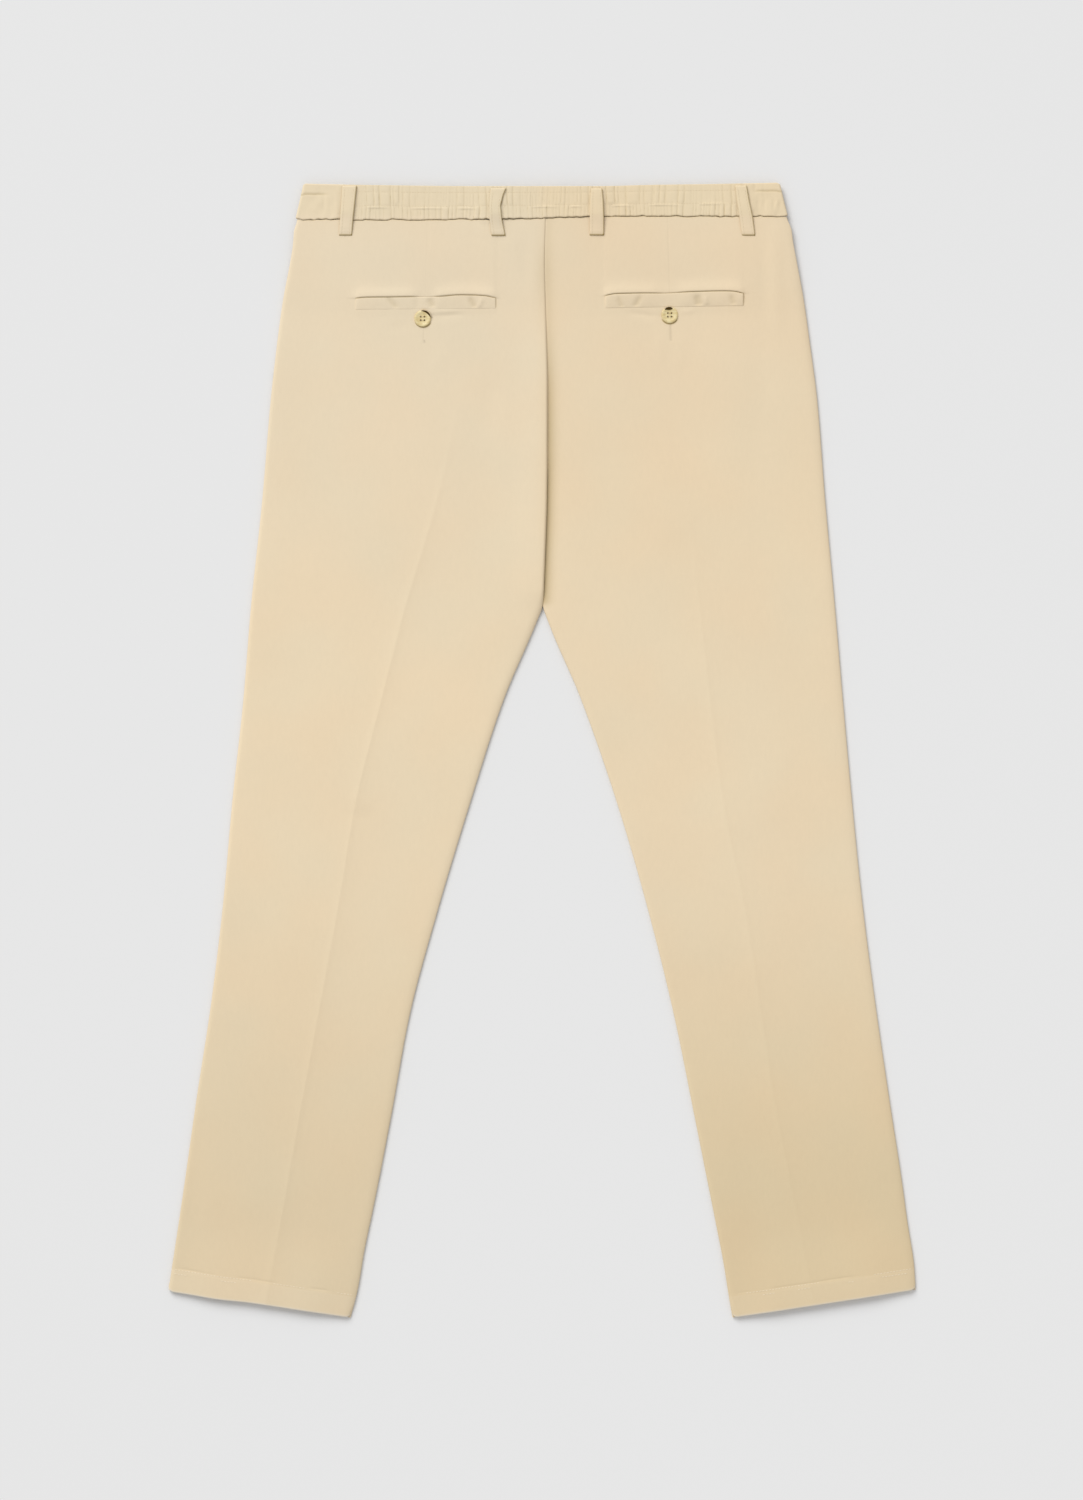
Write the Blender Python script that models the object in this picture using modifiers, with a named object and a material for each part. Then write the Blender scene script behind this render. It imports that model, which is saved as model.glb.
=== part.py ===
"""Chino trousers with an elasticated back waistband, laid flat with the back side up.

The origin is under the middle of the garment, on the surface it lies on. +X goes to the wearer's
right, +Y to the waist and +Z up, so the back is on top and the front lies on the surface.
Sizes are in millimetres and become metres where a mesh is made. "left" is the wearer's left.
"""

import math

import bmesh
import bpy
import numpy as np

MM = 0.001
SIDES = ("left", "right")

# Cloth, and what is between two pieces of it
CLOTH = 1.0                 # wall of a leg panel
HEM_CLOTH = 1.5             # wall of the turned-up hem
BAND_CLOTH = 1.8            # wall of the waistband: two layers and an interlining
LOOP_CLOTH = 1.4            # wall of a belt loop
LOOP_FOLD = 2.4             # wall of a loop's turned-in ends
WELT_CLOTH = 1.0            # wall of a pocket welt
SEAM_GAP = 0.3              # at a seam, and under whatever lies on a panel
LAP_STEP = CLOTH + SEAM_GAP     # one layer steps over another by this much
ROLL = 3.0                  # width over which the cloth rolls down to a side seam
ROLL_STEPS = (
    # distance in from the edge, and share of the way up
    (0.0, 0.0),
    (0.02, 0.35),
    (0.9, 0.8),
    (ROLL, 1.0),
)

# Heights along the garment
HEM_Y = -496.8              # hem at the side seam
HEM_FOLD_Y = -477.0         # top of the turned-up hem, at the side seam
CROTCH_Y = 132.5
WAIST_Y = 491.2             # seam between the legs and the waistband
WAIST_SLOPE = 0.008         # that seam rises towards the wearer's right
WAIST_SLOPE_END = 420.0     # rows below this height are level
INSEAM_TOP = 122.5          # the inner edge is an inseam up to here ...
SEAT_SEAM_FOOT = 150.5      # ... and a seat seam from here

# Rows and columns of points on the panels, apart from those at the heights named here
LEG_ROWS = (-435.0, 90.0, 9)    # first, last and how many
SEAT_ROWS = (200.0, 260.0)
WAIST_ROWS = (422.0, 446.0)
EDGE_COLUMNS = (12.0, 35.0)     # in from an edge
MOUTH_COLUMN = 15.0             # in from the pocket mouth
FLY_COLUMNS = (24.0, 17.0, 10.0)    # beside the centre front

# Waistband
BAND_SIDE_FOOT = 227.3      # half width at the waist seam
BAND_SIDE_TOP = 220.2       # half width at the top edge
BAND_TOP_Y = 518.6          # top edge at the middle
BAND_TOP_RISE = 4.0         # the top edge is this much higher at the sides
BAND_JOIN = {"left": -178.0, "right": 186.0}    # front and back band meet here, under a loop
BAND_TURN = BAND_CLOTH + SEAM_GAP / 2.0         # radius of the front band's turn to the back
GATHER_PITCH = 13.0
GATHER_HEIGHT = 0.35

# Front of the waistband, whose left end laps over the right one and is buttoned to it
FRONT_LIFT = LOOP_FOLD + SEAM_GAP   # the front loops and the button hold the band up
BAND_TOP_Z = FRONT_LIFT + 2.0 * BAND_TURN
LIFT_START = 470.0          # the front panels come down from this height ...
LIFT_END = 398.0            # ... and lie on the surface from here to the hem
OVERLAP_END = 16.0          # free end of the left band, past the middle
UNDERLAP_END = -22.0        # hidden end of the right band
UNDERLAP_COLUMNS = (17.0, 23.0, 29.0, 35.0)     # where the right band steps up onto the left one
BAND_COLUMNS = (70.0, 140.0, 200.0)
BAND_END_COLUMN = 204.0     # on the back, between the turn and the join
SWELL_START = 30.0          # the back band swells over the overlap this far from the middle ...
SWELL_END = 75.0            # ... and is level from here

# Fly, where the left front panel laps over the right one
FLY_LAP = 8.0
FLY_FOOT = 300.0
FLY_FADE = 22.0
FLY_RAMP = 11.0

# Slanted front pockets
MOUTH_FOOT = 345.0
MOUTH_START = 346.0         # from its foot to here the front panel steps in from the side seam
FACING_FOOT = 349.5
MOUTH_FOOT_WIDTH = 9.0      # from the side seam to the mouth at its foot ...
MOUTH_TOP_WIDTH = 44.0      # ... and at the waist seam
FACING_STEP = (5.0, 1.0)    # it steps up this far outside the mouth ...
FACING_REACH = 8.0          # ... and goes on behind the front panel

# Centre back seam, side seams and pressed creases
SEAT_DIP = 0.5              # the panels turn down into the centre back seam
SEAT_REACH = 70.0           # and the cloth is raised this far from it
SIDE_REACH = 45.0           # or from a side seam
CREASE_REACH = 22.0         # half width of a pressed crease
CREASE_CORE = 7.0           # half width of its steep part
CREASE_COLUMNS = (-CREASE_REACH, -CREASE_CORE, 0.0, CREASE_CORE, CREASE_REACH)
FRONT_CREASE_LIFT = 0.4     # beside a front crease the cloth stands off the surface this much
FRONT_EASE = 0.2            # the open cloth of a front panel lies unevenly by this much
EASE_PITCH = 26.25
REST_Y = -106.9             # one of the heights at which it touches the surface all the way across

# Back pockets, in rows of the welt's two ends and the button's centre
WELT_HEIGHT = 10.6
WELT_COLUMNS = 11
POCKETS = {
    # side: (outer end x, y, inner end x, y, button x, y)
    "left": (-171.0, 412.0, -41.5, 413.0, -108.4, 398.0),
    "right": (186.8, 415.6, 59.0, 413.4, 119.2, 400.8),
}

# Buttons
BUTTON_SEGMENTS = 20
BUTTON_RADIUS = 7.6
BUTTON_REACH = (-BUTTON_RADIUS, BUTTON_RADIUS)
BUTTON_PROFILE = (
    # radius and height, from the middle of the face round the rim to the middle of the back
    (0.0, 1.6),
    (4.7, 1.6),
    (5.5, 2.4),
    (6.9, 2.4),
    (BUTTON_RADIUS, 1.7),
    (BUTTON_RADIUS, 0.8),
    (6.4, 0.0),
    (0.0, 0.0),
)
BUTTON_THICKNESS = 2.4
HOLE_RADIUS = 0.9
HOLE_PITCH = 3.2
HOLE_SEGMENTS = 8
WAIST_BUTTON_Y = 505.0

# Belt loops: x at the top, at the waist seam and at the foot
LOOP_WIDTH = 12.0
LOOP_TOP_INSET = 1.0        # the loop starts this far below the top edge of the waistband
LOOP_FOOT_Y = 474.5
LOOP_ROWS = (484.0, WAIST_Y, 504.0)     # between its turned-in ends
LOOP_ARCH = 0.5
LOOP_DROP = 0.4             # the foot of a back loop is at most this much lower than its top
LOOP_TURN = 4.0             # length of a turned-in end
BACK_LOOPS = {
    "loop_back_1": (-176.2, -179.0, -180.2),
    "loop_back_2": (-39.0, -42.0, -39.1),
    "loop_back_3": (51.0, 51.5, 51.4),
    "loop_back_4": (184.0, 189.0, 191.2),
}
FRONT_LOOPS = {
    "loop_front_left": (-112.0, -112.0, -112.0),
    "loop_front_right": (112.0, 112.0, 112.0),
}

# Colour, roughness and metallic value of each material
FINISHES = {
    "twill": ((0.78, 0.64, 0.46), 0.85, 0.0),
    "gathered_twill": ((0.74, 0.61, 0.44), 0.85, 0.0),
    "horn": ((0.62, 0.48, 0.28), 0.35, 0.0),
}


class Table:
    """Rows of sizes from the hem to the waist, read on a smooth curve through the rows."""

    def __init__(self, columns, rows):
        values = np.array(rows, dtype=float)
        self.heights = values[:, 0]
        self.columns = {name: values[:, i] for i, name in enumerate(columns.split())}
        self.slopes = {name: self.slopes_of(column) for name, column in self.columns.items()}

    def slopes_of(self, column):
        """Slope at each row, level at a peak, so that the curve never overshoots a row."""
        rises = np.diff(column) / np.diff(self.heights)
        slopes = np.concatenate((rises[:1], rises[1:], rises[-1:]))
        for i in range(1, len(rises)):
            before, after = rises[i - 1], rises[i]
            slopes[i] = 2.0 * before * after / (before + after) if before * after > 0 else 0.0
        return slopes

    def at(self, name, y):
        """Value of one column at height y."""
        column, slopes = self.columns[name], self.slopes[name]
        i = int(np.clip(np.searchsorted(self.heights, y) - 1, 0, len(column) - 2))
        length = self.heights[i + 1] - self.heights[i]
        t = min(max((y - self.heights[i]) / length, 0.0), 1.0)
        from_start = column[i] * (1.0 + 2.0 * t) + length * slopes[i] * t
        from_end = column[i + 1] * (3.0 - 2.0 * t) - length * slopes[i + 1] * (1.0 - t)
        return from_start * (1.0 - t) ** 2 + from_end * t**2


# x of the side seams and of the pressed creases
OUTLINE = Table(
    "y left_side left_crease right_crease right_side",
    [
        (-496.8, -345.0, -253.9, 252.1, 345.0),
        (-413.0, -332.3, -238.3, 235.5, 335.6),
        (-321.0, -319.2, -221.7, 217.1, 321.8),
        (-229.0, -305.2, -204.2, 202.4, 308.4),
        (-137.0, -294.3, -186.8, 187.7, 296.6),
        (-45.0, -286.0, -171.1, 168.4, 287.3),
        (47.0, -276.0, -147.7, 156.4, 279.0),
        (132.5, -269.0, -125.1, 146.3, 271.7),
        (231.0, -258.6, -95.7, 137.0, 262.7),
        (323.0, -250.8, -75.0, 122.0, 255.4),
        (378.0, -244.6, -66.0, 106.0, 248.3),
        (415.0, -239.5, -62.0, 95.0, 243.1),
        (452.0, -232.5, -60.0, 84.0, 236.1),
        (470.0, -229.9, -60.0, 78.0, 232.6),
        (491.2, -228.8, -60.0, 75.0, 230.3),
    ],
)

# x of the inseams. A row leans along the hem, so it is at inner_y there and at y at the side seam.
INSEAM = Table(
    "y inner_y left right",
    [
        (-496.8, -522.6, -176.6, 176.6),
        (-413.0, -435.4, -156.2, 159.3),
        (-321.0, -339.6, -137.3, 140.2),
        (-229.0, -243.8, -119.7, 120.8),
        (-137.0, -148.0, -94.1, 97.2),
        (-45.0, -52.3, -65.3, 69.6),
        (47.0, 43.5, -34.3, 36.6),
        (102.0, 100.9, -11.0, 13.2),
        (132.5, 132.5, 1.8, 1.8),
    ],
)

# x of the centre seams
SEAT = Table(
    "y x",
    [
        (132.5, 1.8),
        (231.0, 4.8),
        (323.0, 5.2),
        (378.0, 4.6),
        (415.0, 3.7),
        (452.0, 2.8),
        (491.2, 3.7),
    ],
)

# Height of the back panels' outer surface: beside the side seam, of the open sheet, what the crease
# adds, and beside the centre back seam or the inseam
RELIEF = Table(
    "y side sheet left_crease right_crease left_inner right_inner",
    [
        (-496.8, 4.3, 4.0, 0.9, 0.7, 4.3, 4.3),
        (-440.0, 3.9, 3.5, 1.2, 0.9, 3.9, 3.9),
        (-137.0, 3.8, 3.3, 1.3, 1.0, 3.8, 3.8),
        (80.0, 3.9, 3.4, 1.3, 0.9, 4.0, 4.0),
        (132.5, 4.0, 3.5, 1.2, 0.6, 4.8, 4.0),
        (200.0, 4.0, 3.5, 0.9, 0.3, 5.6, 3.8),
        (286.0, 4.0, 3.6, 0.4, 0.0, 5.6, 3.9),
        (345.0, 4.2, 3.9, 0.0, 0.0, 5.4, 4.2),
        (400.0, 4.4, 4.2, 0.0, 0.0, 5.2, 4.6),
        (433.0, 5.5, 5.3, 0.0, 0.0, 6.1, 5.7),
        (468.0, 6.3, 6.3, 0.0, 0.0, 7.7, 7.5),
        (491.2, 6.5, 6.5, 0.0, 0.0, 8.4, 8.4),
    ],
)


def mix(a, b, t):
    """The value a part t of the way from a to b."""
    return a + (b - a) * t


def smooth_step(start, end, value):
    """0 up to start and 1 from end, rising softly between them."""
    t = min(max((value - start) / (end - start), 0.0), 1.0)
    return t * t * (3.0 - 2.0 * t)


def near(distance, reach):
    """1 at no distance, falling softly to 0 at the reach."""
    return 1.0 - smooth_step(0.0, reach, distance)


# Scene, materials and solids


def clear_scene():
    for obj in list(bpy.data.objects):
        bpy.data.objects.remove(obj, do_unlink=True)


def make_collection(name):
    collection = bpy.data.collections.new(name)
    bpy.context.scene.collection.children.link(collection)
    return collection


def make_material(name, finish):
    colour, roughness, metallic = FINISHES[finish]
    material = bpy.data.materials.new(name)
    material.use_nodes = True
    shader = material.node_tree.nodes["Principled BSDF"]
    shader.inputs["Base Color"].default_value = (*colour, 1.0)
    shader.inputs["Roughness"].default_value = roughness
    shader.inputs["Metallic"].default_value = metallic
    return material


def link_object(name, mesh, collection, finish):
    obj = bpy.data.objects.new(name, mesh)
    obj.data.materials.append(make_material(name, finish))
    collection.objects.link(obj)
    return obj


def sheet_mesh(name, rows):
    """A grid moved to the given rows of points, which all have the same length."""
    bm = bmesh.new()
    bmesh.ops.create_grid(bm, x_segments=len(rows[0]) - 1, y_segments=len(rows) - 1, size=1.0)
    bm.verts.ensure_lookup_table()
    points = [point for row in rows for point in row]
    for vert, point in zip(bm.verts, points):
        vert.co = [MM * value for value in point]
    mesh = bpy.data.meshes.new(name)
    bm.to_mesh(mesh)
    bm.free()
    mesh.shade_smooth()
    mesh.set_sharp_from_angle(angle=math.radians(40.0))
    return mesh


def make_cloth(name, rows, wall, inward, collection, finish, thick=None):
    """A wall of cloth grown from the rows of its outer surface.

    inward is -1 where the grid's normals point out of the garment and 1 where they point into it.
    thick, if given, says for each row whether it has the full wall, and the rest have CLOTH or, on
    a belt loop, LOOP_CLOTH.
    """
    obj = link_object(name, sheet_mesh(name, rows), collection, finish)
    solidify = obj.modifiers.new("wall", "SOLIDIFY")
    solidify.thickness = wall * MM
    solidify.offset = inward
    solidify.use_even_offset = True
    if thick:
        flags, thin_wall = thick
        group = obj.vertex_groups.new(name="turned_in")
        columns = len(rows[0])
        for i, flag in enumerate(flags):
            if flag:
                group.add(list(range(i * columns, (i + 1) * columns)), 1.0, "REPLACE")
        solidify.vertex_group = group.name
        solidify.thickness_vertex_group = thin_wall / wall
    return obj


# Shape of the panels


def side_x(side, y):
    return OUTLINE.at(side + "_side", y)


def inner_x(side, y):
    """x of the inseam or the centre seam, half a seam gap short of it."""
    seam = INSEAM.at(side, y) if y < CROTCH_Y else SEAT.at("x", y)
    return seam + (-SEAM_GAP / 2.0 if side == "left" else SEAM_GAP / 2.0)


def width_at(side, y):
    return abs(inner_x(side, y) - side_x(side, y))


def row_point(side, y, distance, z):
    """Point of the row at height y, that far in from the side seam."""
    t = distance / width_at(side, y)
    x = mix(side_x(side, y), inner_x(side, y), t)
    lean = WAIST_SLOPE * x * smooth_step(WAIST_SLOPE_END, WAIST_Y, y)
    inner_y = INSEAM.at("inner_y", y) if y < CROTCH_Y else y
    return (x, mix(y, inner_y, t) + lean, z)


def front_height(y):
    """Height of the front panels' outer surface above the surface they lie on."""
    return FRONT_LIFT * smooth_step(LIFT_END, LIFT_START, y)


def back_height(side, x, y):
    """Height of the back panels' outer surface inside its rolled edges."""
    sheet = RELIEF.at("sheet", y)
    from_side = abs(x - side_x(side, y))
    from_inner = abs(x - inner_x(side, y))
    from_crease = abs(x - OUTLINE.at(side + "_crease", y))
    height = sheet
    height += (RELIEF.at("side", y) - sheet) * near(from_side, SIDE_REACH)
    height += (RELIEF.at(side + "_inner", y) - sheet) * near(from_inner, SEAT_REACH)
    height += RELIEF.at(side + "_crease", y) * max(1.0 - from_crease / CREASE_REACH, 0.0) ** 2
    return height


def side_seam_height(y):
    """Height of the side seam, half way between the outer surfaces it joins."""
    return (RELIEF.at("side", y) + front_height(y)) / 2.0


def inseam_share(y):
    """0 where the inner edge is a seat seam and 1 where it is the inseam of a leg."""
    return 1.0 - smooth_step(INSEAM_TOP, SEAT_SEAM_FOOT, y)


def panel_levels():
    """Heights of the rows of a panel, closest at the hem, the crotch and the waist."""
    leg = np.linspace(*LEG_ROWS)
    seat = (INSEAM_TOP, CROTCH_Y, SEAT_SEAM_FOOT, *SEAT_ROWS, FLY_FOOT - FLY_FADE)
    hip = (FLY_FOOT, FLY_FOOT + FLY_FADE, MOUTH_FOOT, MOUTH_START, FACING_FOOT, LIFT_END)
    waist = (*WAIST_ROWS, LIFT_START, WAIST_Y - SEAM_GAP)
    return (HEM_Y, HEM_FOLD_Y, *leg, *seat, *hip, *waist)


def hem_rows():
    """For each row whether it lies in the turned-up hem, and the wall of the rest."""
    return [y <= HEM_FOLD_Y for y in panel_levels()], CLOTH


# Back panels


def back_row(side, y):
    """Points of a back panel's row, from the side seam to the inner seam."""
    width = width_at(side, y)
    crease = abs(OUTLINE.at(side + "_crease", y) - side_x(side, y))

    def top(distance):
        return back_height(side, row_point(side, y, distance, 0.0)[0], y)

    seam = side_seam_height(y) + SEAM_GAP / 2.0
    seat_edge = RELIEF.at("right_inner", y) - SEAT_DIP
    inner_edge = mix(seat_edge, seam, inseam_share(y))
    row = [(d, mix(seam, top(ROLL), share)) for d, share in ROLL_STEPS]
    row += [(d, top(d)) for d in EDGE_COLUMNS]
    row += [(crease + d, top(crease + d)) for d in CREASE_COLUMNS]
    row += [(width - d, top(width - d)) for d in EDGE_COLUMNS[::-1]]
    inner = [(width - d, mix(inner_edge, top(width - ROLL), share)) for d, share in ROLL_STEPS]
    row += inner[::-1]
    return [row_point(side, y, distance, z) for distance, z in row]


def make_back(side, collection):
    rows = [back_row(side, y) for y in panel_levels()]
    inward = -1.0 if side == "left" else 1.0
    make_cloth(f"back_{side}", rows, HEM_CLOTH, inward, collection, "twill", hem_rows())


# Front panels and pocket facings


def mouth_distance(y):
    """From the side seam to the edge of the slanted pocket mouth."""
    t = (y - MOUTH_FOOT) / (WAIST_Y - MOUTH_FOOT)
    return mix(MOUTH_FOOT_WIDTH, MOUTH_TOP_WIDTH, t)


def fly_lap(side, y):
    """How far a front panel goes past the centre seam."""
    return FLY_LAP * smooth_step(FLY_FOOT, FLY_FOOT + FLY_FADE, y) if side == "left" else 0.0


def fly_step(side, y, from_inner):
    """How far the right front panel is raised where the left one laps over it."""
    if side == "left":
        return 0.0
    along = smooth_step(FLY_FOOT - FLY_FADE, FLY_FOOT, y)
    across = 1.0 - smooth_step(FLY_LAP + 1.5, FLY_LAP + 1.5 + FLY_RAMP, from_inner)
    return LAP_STEP * along * across


def front_crease_lift(y):
    """How far the front panel stands off the surface beside its crease, which fades at the hip."""
    return FRONT_CREASE_LIFT * (1.0 - smooth_step(FLY_FOOT, LIFT_END, y))


def front_ease(y):
    """How far the open cloth of a front panel stands off the surface, below the pocket mouth."""
    wave = 0.5 - 0.5 * math.cos(2.0 * math.pi * (y - REST_Y) / EASE_PITCH)
    return FRONT_EASE * wave if y <= MOUTH_START else 0.0


def front_row(side, y):
    """Points of a front panel's row, from the side seam or pocket mouth to the inner seam."""
    width = width_at(side, y)
    ease = front_ease(y)
    bottom = front_height(y)
    seam = side_seam_height(y) - SEAM_GAP / 2.0
    in_mouth = y > MOUTH_FOOT
    start = mouth_distance(y) if in_mouth else 0.0
    end = width + fly_lap(side, y)

    def height(distance):
        return bottom + fly_step(side, y, width - distance)

    inner_edge = mix(height(width), seam, inseam_share(y))
    row = [(start + d, mix(bottom if in_mouth else seam, bottom, share)) for d, share in ROLL_STEPS]
    row.append((start + MOUTH_COLUMN, height(start + MOUTH_COLUMN) + ease))
    for d in CREASE_COLUMNS:
        lift = front_crease_lift(y) if abs(d) == CREASE_CORE else 0.0
        row.append((width / 2.0 + d, height(width / 2.0 + d) + lift + (ease if d else 0.0)))
    row += [(width - d, height(width - d) + ease) for d in FLY_COLUMNS]
    inner = [(end - d, mix(inner_edge, height(end - ROLL), share)) for d, share in ROLL_STEPS]
    row += inner[::-1]
    return [row_point(side, y, distance, z) for distance, z in row]


def make_front(side, collection):
    rows = [front_row(side, y) for y in panel_levels()]
    if side == "left":
        rows = [row[::-1] for row in rows]
    make_cloth(f"front_{side}", rows, HEM_CLOTH, -1.0, collection, "twill", hem_rows())


def facing_row(side, y):
    """Points of a pocket facing's row, from the side seam to behind the mouth."""
    bottom = front_height(y)
    seam = side_seam_height(y) - SEAM_GAP / 2.0
    mouth = mouth_distance(y)
    step_start, step_end = (mouth - d for d in FACING_STEP)
    row = [(d, mix(seam, bottom, share)) for d, share in ROLL_STEPS]
    row += [(step_start, bottom), (step_end, bottom + LAP_STEP)]
    row += [(mouth + FACING_REACH, bottom + LAP_STEP)]
    return [row_point(side, y, distance, z) for distance, z in row]


def make_facing(side, collection):
    rows = [facing_row(side, y) for y in panel_levels() if y >= FACING_FOOT]
    inward = 1.0 if side == "left" else -1.0
    make_cloth(f"pocket_facing_{side}", rows, CLOTH, inward, collection, "twill")


# Waistband


def band_foot(x):
    """Height of the waistband's lower edge."""
    return WAIST_Y + WAIST_SLOPE * x + SEAM_GAP / 2.0


def band_top(x):
    """Height of the waistband's upper edge, which sags to the middle."""
    return BAND_TOP_Y + BAND_TOP_RISE * min(abs(x) / BAND_SIDE_TOP, 1.0) ** 2


def band_swell(x):
    """How far the back band is pushed up by the overlap of the front band."""
    return (BAND_CLOTH + SEAM_GAP) * (1.0 - smooth_step(SWELL_START, SWELL_END, abs(x)))


def band_height(x):
    """Height of the back band's outer surface, without its gathers."""
    return BAND_TOP_Z + band_swell(x)


def gather(x):
    """Height of the back band's gathers, which fade at its ends."""
    from_end = min(x - BAND_JOIN["left"], BAND_JOIN["right"] - x)
    wave = 0.5 - 0.5 * math.cos(2.0 * math.pi * x / GATHER_PITCH)
    return GATHER_HEIGHT * wave * smooth_step(0.0, 2.0 * GATHER_PITCH, from_end)


def band_rows(path):
    """Three rows, from the lower to the upper edge, of points (x, z) given by path(share)."""
    rows = []
    for share in (0.0, 0.5, 1.0):
        row = [(x, mix(band_foot(x), band_top(x), share), z) for x, z in path(share)]
        rows.append(row)
    return rows


def make_back_band(collection):
    start = BAND_JOIN["left"] + SEAM_GAP / 2.0
    end = BAND_JOIN["right"] - SEAM_GAP / 2.0
    count = 2 * round((end - start) / GATHER_PITCH) + 1
    stations = np.linspace(start, end, count)
    rows = band_rows(lambda share: [(x, band_height(x) + gather(x)) for x in stations])
    make_cloth("waistband_back", rows, BAND_CLOTH, -1.0, collection, "gathered_twill")


def underlap_step(x):
    """How far the right front band is raised where the left one laps over it."""
    ramp = smooth_step(UNDERLAP_COLUMNS[0], UNDERLAP_COLUMNS[-1], x)
    return (BAND_CLOTH + SEAM_GAP) * (1.0 - ramp)


def front_band_path(side, share):
    """(x, z) of a front band's outer surface, from its free end round the side to the back."""
    way = -1.0 if side == "left" else 1.0
    half_width = mix(BAND_SIDE_FOOT, BAND_SIDE_TOP, share)
    if side == "left":
        under = [(x, FRONT_LIFT) for x in (OVERLAP_END, *(-x for x in BAND_COLUMNS))]
    else:
        columns = (UNDERLAP_END, *UNDERLAP_COLUMNS, *BAND_COLUMNS)
        under = [(x, FRONT_LIFT + underlap_step(x)) for x in columns]
    turn = []
    for degrees in range(-90, 91, 30):
        angle = math.radians(degrees)
        x = way * (half_width - BAND_TURN + BAND_TURN * math.cos(angle))
        turn.append((x, FRONT_LIFT + BAND_TURN + BAND_TURN * math.sin(angle)))
    join = BAND_JOIN[side] + way * SEAM_GAP / 2.0
    return under + turn + [(way * BAND_END_COLUMN, BAND_TOP_Z), (join, BAND_TOP_Z)]


def make_front_band(side, collection):
    rows = band_rows(lambda share: front_band_path(side, share))
    inward = -1.0 if side == "left" else 1.0
    make_cloth(f"waistband_front_{side}", rows, BAND_CLOTH, inward, collection, "twill")


# Belt loops


def loop_levels(x):
    """Heights of a belt loop's rows, from its foot to its top, closer at the turned-in ends."""
    top = band_top(x) - LOOP_TOP_INSET
    return (LOOP_FOOT_Y, LOOP_FOOT_Y + LOOP_TURN, *LOOP_ROWS, top - LOOP_TURN, top)


def loop_columns(middle):
    return (middle - LOOP_WIDTH / 2.0, middle, middle + LOOP_WIDTH / 2.0)


def loop_rows(places, surface):
    """Rows of a loop whose outer surface is surface(x, share of the way up)."""
    top_x, seam_x, foot_x = places
    levels = loop_levels(top_x)
    rows = []
    for y in levels:
        above = (y - WAIST_Y) / (levels[-1] - WAIST_Y)
        below = (WAIST_Y - y) / (WAIST_Y - levels[0])
        middle = mix(seam_x, top_x, above) if y > WAIST_Y else mix(seam_x, foot_x, below)
        share = (y - levels[0]) / (levels[-1] - levels[0])
        rows.append([(x, y, surface(x, share)) for x in loop_columns(middle)])
    return rows


def back_loop_surface(foot_x):
    """Outer surface of a back loop, from the panel up to the waistband, arched between."""
    side = "left" if foot_x < 0.0 else "right"
    corners = [back_height(side, x, LOOP_FOOT_Y + LOOP_TURN) for x in loop_columns(foot_x)]
    foot = max(corners) + SEAM_GAP + LOOP_FOLD

    def surface(x, share):
        top = band_height(x) + GATHER_HEIGHT + SEAM_GAP + LOOP_FOLD
        arch = LOOP_ARCH * math.sin(math.pi * share)
        return mix(max(foot, top - LOOP_DROP), top, share) + arch

    return surface


def make_loops(collection):
    ends_thick = [True, True, False, False, False, True, True], LOOP_CLOTH
    for name, places in BACK_LOOPS.items():
        rows = loop_rows(places, back_loop_surface(places[-1]))
        make_cloth(name, rows, LOOP_FOLD, -1.0, collection, "twill", ends_thick)
    for name, places in FRONT_LOOPS.items():
        rows = loop_rows(places, lambda x, share: 0.0)
        make_cloth(name, rows, LOOP_FOLD, 1.0, collection, "twill", ends_thick)


# Back pockets


def welt_rows(side):
    """Rows of a welt: points of the back panel, moved out by a gap and the welt's wall."""
    outer_x, outer_y, end_x, end_y, _, _ = POCKETS[side]
    rows = []
    for across in (-0.5, 0.0, 0.5):
        row = []
        for t in np.linspace(0.0, 1.0, WELT_COLUMNS):
            x = mix(outer_x, end_x, t)
            y = mix(outer_y, end_y, t) + across * WELT_HEIGHT
            row.append((x, y, back_height(side, x, y) + SEAM_GAP + WELT_CLOTH))
        rows.append(row)
    return rows


def make_welt(side, collection):
    inward = -1.0 if side == "left" else 1.0
    make_cloth(f"welt_{side}", welt_rows(side), WELT_CLOTH, inward, collection, "twill")


# Buttons


def turned_mesh(name, profile):
    """An open outline in the XZ plane, to be turned round Z."""
    mesh = bpy.data.meshes.new(name)
    points = [(MM * radius, 0.0, MM * height) for radius, height in profile]
    edges = [(i, i + 1) for i in range(len(points) - 1)]
    mesh.from_pydata(points, edges, [])
    return mesh


def make_hole_cutters(cutters):
    """The four thread holes of a button at the origin, which its own place then moves."""
    holes = []
    bm = bmesh.new()
    half = MM * HOLE_PITCH / 2.0
    bmesh.ops.create_cone(
        bm, cap_ends=True, segments=HOLE_SEGMENTS,
        radius1=MM * HOLE_RADIUS, radius2=MM * HOLE_RADIUS, depth=MM * 4.0 * BUTTON_THICKNESS,
    )
    mesh = bpy.data.meshes.new("button_hole")
    bm.to_mesh(mesh)
    bm.free()
    for x in (-half, half):
        for y in (-half, half):
            hole = bpy.data.objects.new("button_hole", mesh)
            hole.location = (x, y, 0.0)
            hole.hide_render = True
            hole.display_type = "WIRE"
            cutters.objects.link(hole)
            holes.append(hole)
    return holes


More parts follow.
